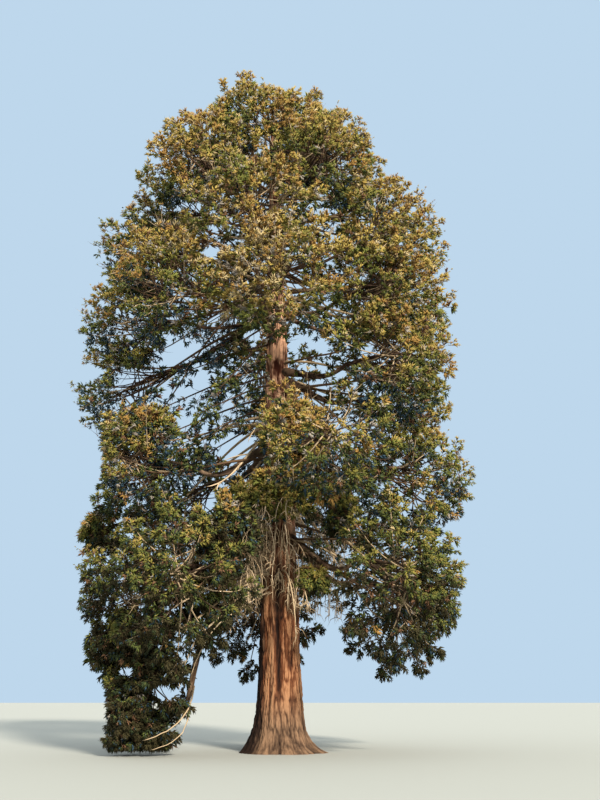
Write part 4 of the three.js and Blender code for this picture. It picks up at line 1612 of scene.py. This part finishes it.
        # Tufts' tops, the upper sides of masses and the outer twigs get sunnier tints and undersides shadier
        # ones, as painted sun and shade; the clump term is each boughlet's own tone.
        painted_sun_and_tone = self.painted_sun_and_tone(middle) + 0.13 * side + 0.22 * lump + 0.42 * clump + 0.3 * (shares - 0.8)
        painted_sun_and_tone = painted_sun_and_tone + 0.1 * (scatter(seed, 6.0) - 0.5)
        thin = self.thinness(middle)
        hidden = step_up(self.inwards(middle), *self.inner_depth) * step_up(middle[..., 2], 3.0, 5.5)
        hidden = hidden * (1.0 - thin)
        low = 1.0 - step_up(middle[..., 2], 6.5, 10.0)
        number = mix(self.sprays + 1.5 * low, self.inner_sprays, hidden) * (1.0 - 0.65 * thin)
        number = np.floor(number + scatter(seed, 13.0)).astype(int) * (scatter(seed, 14.0) > 0.55 * thin)
        number = number * (self.closed(middle) > 1.0)
        scale = mix(1.0, self.inner_scale, hidden)
        core = np.repeat(bezier(controls, np.array([self.tuft_core])), per, axis=1)
        swell = self.tuft_radius * np.maximum(scale, 1.0)
        return Twigs.of(places, heading, length, seed, painted_sun_and_tone, number, scale, core, swell)

    def layers_of(self, lines: Reals, per: int, number: int, seed_start: float) -> Twigs:
        """Grow the thin layers inside the crown: level twigs to either side of limbs.

        Args:
            lines: The limbs' controls.
            per: How many twigs each limb bears.
            number: How many sprays each twig bears.
            seed_start: Seed of the first limb.

        Returns:
            The twigs.
        """
        places, tangents = places_on(lines, np.linspace(0.3, 0.97, per))
        twig = np.arange(per)
        seed = (seed_start + 9.0 * np.arange(len(lines)))[:, None] + 0.37 * twig
        level = unit(np.cross(tangents, UP)) * np.where(twig % 2 == 0, 1.0, -1.0)[:, None]
        opening = np.radians(40 + 35 * scatter(seed, 1.0))[..., None]
        lift = UP * (scatter(seed, 2.0) - 0.45)[..., None]
        heading = unit(tangents * np.cos(opening) + level * np.sin(opening) + lift)
        length = self.layer_length * (0.5 + scatter(seed, 3.0))
        # The layers take the painted sun and shade of their place, a little shadier, with a random tone of
        # their own.
        painted_sun_and_tone = self.painted_sun_and_tone(places) - 0.05 + 0.3 * (scatter(seed, 4.0) - 0.5)
        borne = number * (self.closed(places + 0.6 * heading * length[..., None]) > 1.0)
        scale, swell = np.full(seed.shape, 1.2), np.full(seed.shape, 9.0)
        return Twigs.of(places, heading, length, seed, painted_sun_and_tone, borne, scale, places, swell)

    def tuft_mass(self, tuft: Tuft, seed: int) -> tuple[Mass, Reals]:
        """Give the space that a tuft fills, and the path of the short limb that carries it."""
        place = (tuft.azimuth, tuft.radius, tuft.height)
        mass = self.crown.single(tuft.name, tuft.tier, seed, *place, tuft.half)
        mass.boughlets = tuft.boughlets
        start = self.crown.trunk.axis(tuft.start_height) + outward(mass.azimuth) * tuft.start_radius
        mass.stem = np.stack([mix(start, mass.centre, 0.45), mass.centre + mass.axes[0] * 0.3 * tuft.half[0]])
        return mass, np.stack([start, *mass.stem])

    def build_tufts(self) -> tuple[Mesh, list[Mesh]]:
        """Grow the tufts: golden ones before the trunk, drapes low on the left, and those that close the top.

        Returns:
            Their wood, and the sprays of each.
        """
        wood, sprays = [], []
        for n, tuft in enumerate(self.tufts):
            mass, stem = self.tuft_mass(tuft, 960 + n)
            controls, aims, seeds = self.boughlets_of(mass)
            twigs = self.twigs_of(mass, controls, aims, seeds)
            # A tuft's tints are shifted sunnier or shadier, as painted sun or painted shade.
            twigs.painted_sun_and_tone = twigs.painted_sun_and_tone + tuft.painted_sun_shift
            twigs.number = np.where(twigs.number > 0, self.tuft_sprays, 0)
            twigs.scale = np.full(len(twigs.number), self.tuft_scale)
            limb = tubes(stem[None], np.array([[0.05, 0.035, 0.02]]), 6)
            wood += [tapering(controls, 5, (0.026, 0.009), 4), limb, self.wood_of(twigs)]
            sprays.append(self.sprays_of(mass, twigs, False))
        return joined(wood), sprays

    def fan_lines(self) -> Reals:
        """Give the controls of the thin limbs that fall away on the left, where the crown is see-through."""
        k = np.arange(self.fans)
        out = outward(np.radians(mix(*self.fan_azimuths, k * GOLDEN_SHARE % 1.0)))
        start = self.crown.trunk.axis(mix(*self.fan_heights, (k + 0.5) / self.fans))
        run = mix(*self.fan_run, scatter(k, 21.0))[:, None]
        fall = mix(*self.fan_fall, scatter(k, 22.0))[:, None] * run * UP
        tip = start + out * run - fall
        leave, arrive = start + out * 0.33 * run - 0.2 * fall, tip - out * 0.33 * run + 0.3 * fall
        return np.stack([start, leave, arrive, tip], axis=1)

    def build_fans(self) -> tuple[Mesh, Mesh]:
        """Grow the thin limbs on the left with their flat layers of twigs and sprays.

        Returns:
            Their wood and their sprays.
        """
        lines = self.fan_lines()
        twigs = self.layers_of(lines, self.fan_twigs, self.layer_sprays - 1, 950.0)
        twigs.heading = unit(twigs.heading - UP * self.fan_hang)
        limbs = tapering(lines, 14, (0.05, 0.012), 5, np.full(len(lines), SHADED))
        return joined([limbs, self.wood_of(twigs)]), self.sprays_of(self.crown.masses[0], twigs, False)

    def sprays_of(self, mass: Mass, twigs: Twigs, walled: bool) -> Mesh:
        """Grow the sprays of a mass's twigs.

        They leave a twig in a golden-angle spiral, wide open near its root and nearly along it at its tip.
        One that would leave the mass's space is shortened, and one that would start outside it or in the
        trunk is left out.

        Args:
            mass: The mass.
            twigs: Its twigs.
            walled: Whether the sprays keep to the mass's space.

        Returns:
            The sprays as one mesh.
        """
        number = twigs.number
        owner = np.repeat(np.arange(len(number)), number)
        place = np.arange(len(owner)) - np.repeat(np.cumsum(number) - number, number)
        share = mix(0.1, 1.0, (place + 0.6) / number[owner])
        seed = twigs.seed[owner] * 13.0 + place
        heading = twigs.heading[owner]
        square = unit(np.cross(heading, ASLANT))
        around = turned(square, heading, GOLDEN_ANGLE * place + TURN * scatter(twigs.seed[owner], 9.0))
        opening = mix(*self.spray_opening, share**1.3) * (0.75 + 0.5 * scatter(seed, 1.0))
        lift = mix(*self.spray_lift, step_up(twigs.root[owner][:, 2], 1.0, 12.0))
        opened = heading * np.cos(opening)[:, None] + around * np.sin(opening)[:, None]
        aim = unit(opened + lift[:, None] * UP)
        root = twigs.root[owner] + heading * (twigs.length[owner] * share)[:, None]
        length = self.spray_length * (0.7 + 0.6 * scatter(seed, 2.0)) * twigs.scale[owner]
        out = np.linalg.norm(root + aim * length[:, None] - twigs.middle[owner], axis=1) / twigs.swell[owner]
        length = length * np.clip(1.0 - 2.4 * (out - 1.0), 0.3, 1.0)
        axis = self.crown.trunk.axis(root[:, 2])
        bearing = np.arctan2(root[:, 1] - axis[:, 1], root[:, 0] - axis[:, 0])
        bole = self.crown.trunk.radius(bearing, root[:, 2])
        kept = np.linalg.norm((root - axis)[:, :2], axis=1) > bole + 0.1
        if walled:
            at_root = mass.depth(root, self.wall_ease) / self.overhang
            at_tip = mass.depth(root + aim * length[:, None], self.wall_ease) / self.overhang
            fits = np.clip((1.0 - at_root) / np.maximum(at_tip - at_root, 1e-6), 0.0, 1.0)
            length = length * np.where(at_tip > 1.0, fits, 1.0)
            kept &= at_root < 1.0
        kept &= length > 0.35 * self.spray_length
        kept &= self.closed(root + aim * (0.5 * length)[:, None]) > 0.8 + 0.25 * scatter(seed, 15.0)
        kept &= ~self.in_hollow(root, seed) & ~self.in_light(root, seed)
        kept &= (root[:, 2] + aim[:, 2] * length > 0.04) & (root[:, 2] > 0.04)
        over = turned(unit(np.cross(np.cross(aim, ASLANT), aim)), aim, 2.6 * (scatter(seed, 3.0) - 0.5))
        spread = 0.24 - 0.06 * (1.0 - step_up(root[:, 2], 5.0, 10.0))
        painted_sun_and_tone = twigs.painted_sun_and_tone[owner] + spread * (scatter(seed, 4.0) - 0.5)
        # Sprays that point up or lie further along their twig get sunnier tints, as painted sun.
        painted_sun_and_tone = painted_sun_and_tone + 0.13 * aim[:, 2] + 0.12 * (share - 0.5)
        tint = self.tints_of(root, painted_sun_and_tone, seed)
        return self.spray_mesh(root[kept], aim[kept], over[kept], length[kept], tint[kept], mass.seed)

    def tints_of(self, root: Reals, painted_sun_and_tone: Reals, seed: Reals) -> Whole:
        """Give each spray's tint, as a number.

        It goes first by how sunny its place is, as painted sun and shade with the foliage's own tone. Then
        part of the dark ones low down turn umber, as painted shade, part of the sunny ones russet or green in
        patches where the product of two waves through the crown is high or low, and some straw, withered or
        dusty.

        Args:
            root: Where the sprays start.
            painted_sun_and_tone: How sunny they are.
            seed: Their seeds.

        Returns:
            The numbers of their tints.
        """
        x, y, z = root.T
        low, pale = 1.0 - step_up(z, 5.0, 10.0), self.paleness_and_painted_light(root)
        patch = np.sin(1.9 * x + 0.8 * z + 5.2) * np.sin(1.5 * z - 1.1 * y + 4.2)
        gold = TINT_NUMBERS[Tint.GOLD]
        tint = np.clip(np.floor(painted_sun_and_tone * (gold + 1.0)), 0, gold).astype(int)

        def turn(where: Whole, to: Tint) -> None:
            """Give the sprays for which a thing holds another tint."""
            tint[where] = TINT_NUMBERS[to]

        # Umber is painted shade for dark sprays low in the crown.
        turn((tint < 2) & (scatter(seed, 16.0) < 0.75 * low), Tint.UMBER_SHADE)
        turn((tint == 0) & (low > 0.3), Tint.DEEP_GREEN)
        lit = (tint > 2) & (scatter(seed, 19.0) < 0.55)
        turn(lit & (patch > 0.35 + 0.6 * low), Tint.RUSSET)
        turn(lit & (tint < gold) & (patch < -0.35 - 0.25 * low), Tint.FERN)
        turn(lit & (painted_sun_and_tone > 1.0), Tint.RUSSET)
        turn((painted_sun_and_tone > 0.5) & (scatter(seed, 5.0) > 0.94 + 0.05 * low - 0.34 * pale), Tint.STRAW)
        turn(scatter(seed, 6.0) > 0.955, Tint.WITHERED)
        turn(scatter(seed, 7.0) > 0.945 + 0.05 * low - 0.13 * pale, Tint.DUSTY)
        return tint

    def spray_mesh(self, root: Reals, aim: Reals, over: Reals, length: Reals, tint: Whole, seed: int) -> Mesh:
        """Place the spray shape at each spray.

        A point of the shape goes to the root plus its shares along, across and over, and it sinks or rises
        with the square of its share along.
        """
        shape, faces = self.shape.build()
        across = np.cross(over, aim)
        droop = 0.5 * (scatter(np.arange(len(root)), seed + 0.3) - 0.45)
        height = shape[None, :, 2] + droop[:, None] * shape[None, :, 0] ** 2
        local = (
            shape[None, :, 0, None] * aim[:, None]
            + shape[None, :, 1, None] * across[:, None]
            + height[..., None] * over[:, None]
        )
        points = root[:, None] + local * length[:, None, None]
        points[..., 2] = np.maximum(points[..., 2], 0.012)
        starts = len(shape) * np.arange(len(root))
        triangles = (faces[None] + starts[:, None, None]).reshape(-1, 3)
        cords = len(shape) // 4
        draw = scatter(np.arange(len(root))[:, None] + 0.7 * seed, np.arange(cords) + 3.0)
        shift = (draw > 0.82).astype(int) - (draw < 0.18)
        gold = TINT_NUMBERS[Tint.GOLD]
        tints = np.where(tint[:, None] > gold, tint[:, None], np.clip(tint[:, None] + shift, 0, gold))
        owners = np.repeat(tints.ravel(), len(faces) // cords)
        return Mesh(points.reshape(-1, 3), triangles, owners, smooth=True)

    def wood_of(self, twigs: Twigs) -> Mesh:
        """Make the bare twigs, three-sided and slightly sagging."""
        ends = twigs.root + twigs.heading * twigs.length[:, None]
        ends[:, 2] = np.maximum(ends[:, 2], 0.03)
        kept = self.closed(ends) > 1.0
        root, ends = twigs.root[kept], ends[kept]
        middle = mix(root, ends, 0.5) - UP * (0.04 * twigs.length[kept])[:, None]
        radii = np.tile([0.011, 0.007, 0.003], (len(ends), 1))
        shade = np.where(scatter(twigs.seed[kept], 12.0) > self.grey_share, GREY, LIVING)
        return tubes(np.stack([root, middle, ends], axis=1), radii, 3, shade)

    def build(self) -> None:
        """Fill every mass, and join what it grows by tier and kind."""
        sprays: dict[str, Batch] = {}
        wood: Batch = []
        for mass in self.crown.masses:
            if mass.tier == "skirt" and not mass.on_ground:
                mass.half = mass.half * np.array([1.0, 1.0, self.skirt_hang])
            leftward = max(0.0, -math.cos(mass.azimuth)) ** 4
            mass.centre = mass.centre + outward(mass.azimuth) * self.left_ease * leftward
            mass.boughlets = self.ground_boughlets if mass.on_ground else 0
            controls, aims, seeds = self.boughlets_of(mass)
            twigs = self.twigs_of(mass, controls, aims, seeds)
            # The mass on the ground gets shadier tints: painted shade.
            if mass.on_ground:
                twigs.painted_sun_and_tone = twigs.painted_sun_and_tone + self.ground_painted_shade
            lines = self.boughs.inner_lines.get(mass.name, np.zeros((0, 4, 3)))
            lines = lines[lines[:, 0, 2] < self.layer_top]
            layers = self.layers_of(lines, self.layer_twigs, self.layer_sprays, mass.seed * 31.0)
            shade = np.where(scatter(seeds, 11.0) > self.grey_share, GREY, SHADED)
            limbs = tapering(controls, 5, (0.03, 0.009), 4, shade)
            wood.append((joined([limbs, self.wood_of(twigs), self.wood_of(layers)]), []))
            grown = joined([self.sprays_of(mass, twigs, True), self.sprays_of(mass, layers, False)])
            sprays.setdefault(mass.tier, []).append((grown, [mass.name]))
        tuft_wood, tuft_sprays = self.build_tufts()
        for tuft, mesh in zip(self.tufts, tuft_sprays):
            sprays[tuft.tier].append((mesh, []))
        fan_wood, fan_sprays = self.build_fans()
        sprays["middle"].append((fan_sprays, []))
        wood += [(tuft_wood, []), (fan_wood, [])]
        for tier, parts in sprays.items():
            self.put(f"sprays_{tier}", parts, WAXY_NEEDLES)
        self.put("twigs", wood, THIN_BARK)

    def put(self, name: str, parts: Batch, finish: PlainFinish) -> None:
        """Put meshes into the scene as pieces, starting a new piece before one grows too large.

        Args:
            name: Start of the pieces' names.
            parts: Meshes, each with the CAD nodes that it stands for.
            finish: The pieces' finish.
        """
        materials = finish.materials()
        batches: list[Batch] = [[]]
        size = 0
        for part in parts:
            if size + len(part[0].triangles) > self.piece_limit:
                batches.append([])
                size = 0
            batches[-1].append(part)
            size += len(part[0].triangles)
        for i, batch in enumerate(batches):
            nodes = [node for _, found in batch for node in found]
            make_piece(f"{name}_{i + 1}", joined(mesh for mesh, _ in batch), materials, nodes)


# Dead wood


@dataclass(frozen=True)
class BareLimb:
    """A bleached dead limb: where it leaves the trunk, and how far it gets out and down."""

    azimuth: float
    height: float
    out: float
    down: float
    radius: float


@dataclass(frozen=True)
class Arch:
    """A pale arching branch low on the left: its height on the trunk, four points of it, and its radius."""

    start_height: float
    first: Place
    second: Place
    third: Place
    last: Place
    radius: float


def drooping(roots: Reals, aside: Reals, size: Reals, shape: tuple[Pair, ...]) -> Reals:
    """Give lines of points that go aside and down from their roots.

    Args:
        roots: Where they start, one a row.
        aside: How far aside each goes, as a level vector a row.
        size: How far down each goes.
        shape: For each point of a line, its share of the way aside and its share of the way down.

    Returns:
        An array of lines by points by 3.
    """
    return np.stack([roots + aside * out - UP * (down * size)[:, None] for out, down in shape], axis=1)


@dataclass
class DeadWood:
    """Dead branches round the trunk under the crown, with fine twigs that hang from them like a curtain.

    A drooping shape gives, for each control of a line, how far out and how far down it has got by then.
    """

    trunk: Trunk
    foliage: Foliage
    branches: int = 66
    steps: int = 12
    lowest: float = 5.9
    highest: float = 11.5
    length: float = 3.0
    radii: Pair = (0.04, 0.014)
    clear_of_gaps: float = 1.15
    crowded_azimuth: float = math.radians(232)
    crowded_spread: float = math.radians(52)
    crowded_share: float = 0.63
    hanging: int = 17
    hanging_from: Pair = (0.42, 1.0)
    hanging_length: float = 1.35
    hanging_end: float = 4.4
    hanging_radii: Pair = (0.018, 0.009)
    hanging_shape: tuple[Pair, ...] = ((0.0, 0.0), (0.9, 0.1), (1.4, 0.6), (1.0, 1.0))
    hanging_clear: float = 1.25
    before_half_width: float = 0.85
    before_share: float = 0.5
    ends: int = 4
    end_length: float = 0.34
    end_radii: Pair = (0.014, 0.006)
    end_shape: tuple[Pair, ...] = ((0.0, 0.0), (0.6, 0.2), (1.0, 0.8))
    limb_steps: int = 18
    forks: int = 4
    fork_radius: float = 0.009
    arch_steps: int = 14
    arch_sway: float = 0.05
    limbs: tuple[BareLimb, ...] = (
        BareLimb(215, 11.0, 3.0, 2.3, 0.07),
        BareLimb(213, 10.4, 2.4, 2.3, 0.05),
        BareLimb(262, 9.9, 1.3, 1.2, 0.04),
        BareLimb(318, 9.9, 2.2, 1.2, 0.05),
        BareLimb(60, 9.3, 2.3, 1.4, 0.055),
        BareLimb(132, 10.3, 2.4, 1.5, 0.055),
    )
    arches: tuple[Arch, ...] = (
        Arch(2.6, (-2.8, -1.3, 2.1), (-2.75, -2.4, 1.2), (-3.1, -3.2, 0.75), (-4.1, -3.4, 0.5), 0.03),
        Arch(2.2, (-2.95, -1.6, 1.6), (-2.65, -2.7, 0.8), (-3.0, -3.2, 0.4), (-3.85, -3.4, 0.24), 0.024),
        Arch(6.6, (-2.6, -3.3, 4.76), (-2.73, -3.3, 4.44), (-2.82, -3.3, 4.2), (-2.88, -3.3, 3.6), 0.028),
        Arch(5.6, (-2.55, -3.2, 3.5), (-2.83, -3.2, 3.0), (-3.0, -3.2, 2.5), (-3.05, -3.2, 1.96), 0.028),
        Arch(7.4, (-2.6, -3.6, 5.9), (-3.16, -3.7, 5.5), (-3.8, -3.8, 5.4), (-4.55, -3.9, 5.25), 0.028),
        Arch(6.2, (-3.4, -3.6, 4.28), (-3.6, -3.7, 3.86), (-4.0, -3.8, 3.6), (-4.6, -3.9, 3.42), 0.024),
        Arch(5.4, (-2.0, -3.2, 3.8), (-2.28, -3.2, 3.44), (-2.55, -3.2, 2.85), (-2.7, -3.2, 2.36), 0.02),
        Arch(7.1, (-2.96, -3.5, 5.72), (-3.44, -3.6, 5.1), (-4.0, -3.7, 4.9), (-4.55, -3.8, 4.7), 0.022),
    )

    def arching(self) -> Mesh:
        """Make the arching branches.

        Each comes from the trunk by a hidden stretch, or starts beside the bough to the ground if it is
        low, and is then bent a little to and fro.
        """
        paths, radii = [], []
        shares = evenly(self.arch_steps)
        for arch in self.arches:
            seen = np.array([arch.first, arch.second, arch.third, arch.last])
            lean = 0.6 * (seen[1] - seen[0])
            start = self.trunk.axis(arch.start_height)
            if arch.start_height > 3.0:
                hidden = np.stack([start, mix(start, seen[0], 0.4) + 0.3 * UP, seen[0] - lean, seen[0]])
                paths.append(bezier(hidden[None], shares)[0])
                radii.append(np.linspace(1.5 * arch.radius, arch.radius, self.arch_steps))
            paths.append(bezier(seen[None], shares)[0])
            radii.append(np.linspace(arch.radius, 0.35 * arch.radius, self.arch_steps))
        step, rows = np.arange(self.arch_steps), 3.0 * np.arange(len(paths))[:, None]
        sway = np.stack([scatter(step + 0.5 * axis, rows) for axis in range(3)], -1)
        fixed_ends = np.sin(np.linspace(0.0, math.pi, self.arch_steps))[:, None]
        swayed = np.array(paths) + self.arch_sway * (sway - 0.5) * fixed_ends
        return tubes(swayed, np.array(radii), 5, np.where(np.arange(len(paths)) < 2, GREY, BLEACHED))

    def bleached(self) -> Mesh:
        """Make the bleached limbs, which run out and then down, with a few forks each."""
        paths, radii = [], []

        def add(line: list[Reals], thick: float, thin: float) -> None:
            """Add one limb or fork through its four controls."""
            paths.append(bezier(np.stack(line)[None], evenly(self.limb_steps))[0])
            radii.append(np.linspace(thick, thin, self.limb_steps))

        for n, limb in enumerate(self.limbs):
            azimuth = math.radians(limb.azimuth)
            out, start = outward(azimuth), self.trunk.axis(limb.height)
            end = start + out * limb.out - UP * limb.down
            leave, arrive = start + out * 0.4 * limb.out + UP * 0.05, end - out * 0.5 * limb.out + UP * 0.35
            line = [start, leave, arrive, end]
            add(line, limb.radius, 0.3 * limb.radius)
            for k in range(self.forks):
                base = bezier(np.stack(line)[None], np.array([0.45 + 0.14 * k]))[0, 0]
                turn = (1.0 if k % 2 else -1.0) * (0.6 + 0.4 * float(scatter(n, k)))
                side = outward(azimuth + turn) * (0.9 - 0.12 * k)
                tip = base + side - UP * (0.25 + 0.5 * float(scatter(k, n)))
                fork = [base, mix(base, tip, 0.4) + UP * 0.08, mix(base, tip, 0.75) + UP * 0.05, tip]
                add(fork, 0.4 * limb.radius, self.fork_radius)
        return tubes(np.array(paths), np.array(radii), 6, np.full(len(paths), BLEACHED))

    def branch_lines(self) -> tuple[Reals, Whole]:
        """Give the controls and shades of the branches, but of none that would cross a gap of the crown."""
        k = np.arange(self.branches)
        height = mix(self.lowest, self.highest, scatter(k, 0.5))
        crowded = k < self.crowded_share * self.branches
        spread = self.crowded_azimuth + self.crowded_spread * (2.0 * (k * GOLDEN_SHARE % 1.0) - 1.0)
        out, start = outward(np.where(crowded, spread, GOLDEN_ANGLE * k)), self.trunk.axis(height)
        length = (self.length * (0.4 + 0.75 * scatter(k, 2.0)))[:, None]
        fall = (0.3 + 0.55 * scatter(k, 3.0))[:, None]
        controls = np.stack([
            start,
            start + out * (0.45 * length) + UP * 0.15,
            start + out * (0.85 * length) - UP * (0.3 * fall * length),
            start + out * length - UP * (fall * length),
        ], axis=1)
        shade = np.where(scatter(k, 4.0) > 0.5, BLEACHED, GREY)
        middle = bezier(controls, evenly(self.steps))[:, 4:9:2]
        kept = (self.foliage.closed(middle) > self.clear_of_gaps).all(axis=1)
        return controls[kept], shade[kept]

    def hanging_lines(self, branches: Reals) -> Reals:
        """Give the controls of the twigs that hang from the branches, only part of them before the trunk."""
        roots = bezier(branches, np.linspace(*self.hanging_from, self.hanging)).reshape(-1, 3)
        roots = roots[self.foliage.closed(roots - 0.5 * UP) > self.hanging_clear]
        before = (np.abs(roots[:, 0]) < self.before_half_width) & (roots[:, 1] < 0.0)
        roots = roots[~before | (scatter(np.arange(len(roots)), 14.0) < self.before_share)]
        n = np.arange(len(roots))
        size = self.hanging_length * (0.35 + 1.0 * scatter(n, 5.0))
        size = np.minimum(size, np.maximum(roots[:, 2] - self.hanging_end, 0.3))
        swing = outward(TURN * scatter(n, 6.0)) * (0.3 * size * scatter(n, 7.0))[:, None]
        return drooping(roots, swing, size, self.hanging_shape)

    def end_lines(self, hanging: Reals) -> Reals:
        """Give the controls of the hanging twigs' own ends."""
        roots = bezier(hanging, np.linspace(0.3, 0.9, self.ends)).reshape(-1, 3)
        m = np.arange(len(roots))
        reach = self.end_length * (0.4 + 1.2 * scatter(m, 9.0))
        aside = outward(TURN * scatter(m, 10.0)) * (0.75 * reach)[:, None]
        return drooping(roots, aside, reach, self.end_shape)

    def build(self) -> None:
        """Make the branches, the twigs that hang from them, and those twigs' own ends."""
        branches, shade = self.branch_lines()
        hanging = self.hanging_lines(branches)
        ends = self.end_lines(hanging)
        hanging_shade = np.where(scatter(np.arange(len(hanging)), 8.0) > 0.6, GREY, BLEACHED)
        end_shade = np.where(scatter(np.arange(len(ends)), 11.0) > 0.3, GREY, LIVING)
        end_radii = np.tile(np.linspace(*self.end_radii, ends.shape[1]), (len(ends), 1))
        mesh = joined([
            self.bleached(),
            self.arching(),
            tapering(branches, self.steps, self.radii, 5, shade),
            tapering(hanging, 6, self.hanging_radii, 3, hanging_shade),
            tubes(ends, end_radii, 3, end_shade),
        ])
        nodes = ["dead_twigs_left", "dead_twigs_right"]
        make_piece("dead_twigs", mesh, THIN_BARK.materials(), nodes)


# Floor, light and view


@dataclass(frozen=True)
class Studio:
    """A plain pale floor under soft light: a warm low sun from the right front, and a pale blue surround."""

    floor_half: float = 400.0
    surround: Colour = (190, 215, 236)
    fill_colour: Colour = (206, 214, 218)
    surround_fill: float = 1.5
    surround_seen: float = 1.0
    key_strength: float = 6.7
    key_spread: float = math.radians(9.0)
    key_colour: Place = (1.0, 0.91, 0.77)

    def build(self) -> None:
        """Make the floor, the surround and the key light."""
        size = self.floor_half
        corners = [(-size, -size, 0.0), (size, -size, 0.0), (size, size, 0.0), (-size, size, 0.0)]
        data = bpy.data.meshes.new("floor")
        data.from_pydata(corners, [], [(0, 1, 2, 3)])
        data.materials.append(FLOOR_PAINT.materials()[0])
        floor = bpy.data.objects.new("floor", data)
        bpy.context.scene.collection.objects.link(floor)
        world = bpy.data.worlds.new("surround")
        world.use_nodes = True
        nodes, links = world.node_tree.nodes, world.node_tree.links
        fill, seen = nodes["Background"], nodes.new("ShaderNodeBackground")
        set_inputs(fill, Color=linear(self.fill_colour), Strength=self.surround_fill)
        set_inputs(seen, Color=linear(self.surround), Strength=self.surround_seen)
        ray, either = nodes.new("ShaderNodeLightPath"), nodes.new("ShaderNodeMixShader")
        links.new(ray.outputs["Is Camera Ray"], either.inputs["Fac"])
        links.new(fill.outputs["Background"], either.inputs[1])
        links.new(seen.outputs["Background"], either.inputs[2])
        links.new(either.outputs["Shader"], nodes["World Output"].inputs["Surface"])
        bpy.context.scene.world = world
        lamp = bpy.data.lights.new("key", "SUN")
        lamp.energy, lamp.angle, lamp.color = self.key_strength, self.key_spread, self.key_colour
        key = bpy.data.objects.new("key", lamp)
        key.rotation_euler = Vector(tuple(SUNWARD)).to_track_quat("Z", "Y").to_euler()
        bpy.context.scene.collection.objects.link(key)
        bpy.context.scene.view_settings.view_transform = "Standard"


@dataclass(frozen=True)
class Viewpoint:
    """Where the tree is looked at from: eye height on level ground, looking up at it."""

    place: Place = EYE
    pitch: float = math.radians(19.17)
    focal_pixels: float = 860.0
    long_side_pixels: float = 800.0
    sensor: float = 36.0
    clip_end: float = 2000.0

    def build(self) -> None:
        """Make the camera."""
        data = bpy.data.cameras.new("viewpoint")
        data.sensor_width = self.sensor
        data.lens = self.sensor * self.focal_pixels / self.long_side_pixels
        data.clip_end = self.clip_end
        camera = bpy.data.objects.new("viewpoint", data)
        camera.location = self.place
        camera.rotation_euler = (math.pi / 2.0 + self.pitch, 0.0, 0.0)
        bpy.context.scene.collection.objects.link(camera)
        bpy.context.scene.camera = camera


def main() -> None:
    """Build the tree, its floor, its light and its view."""
    logging.basicConfig(level=logging.INFO, format="%(name)s %(message)s")
    trunk = Trunk()
    crown = Crown(trunk)
    trunk.build()
    boughs = Boughs(crown)
    boughs.build()
    foliage = Foliage(crown, boughs)
    foliage.build()
    DeadWood(trunk, foliage).build()
    Studio().build()
    Viewpoint().build()


if __name__ == "__main__":
    main()
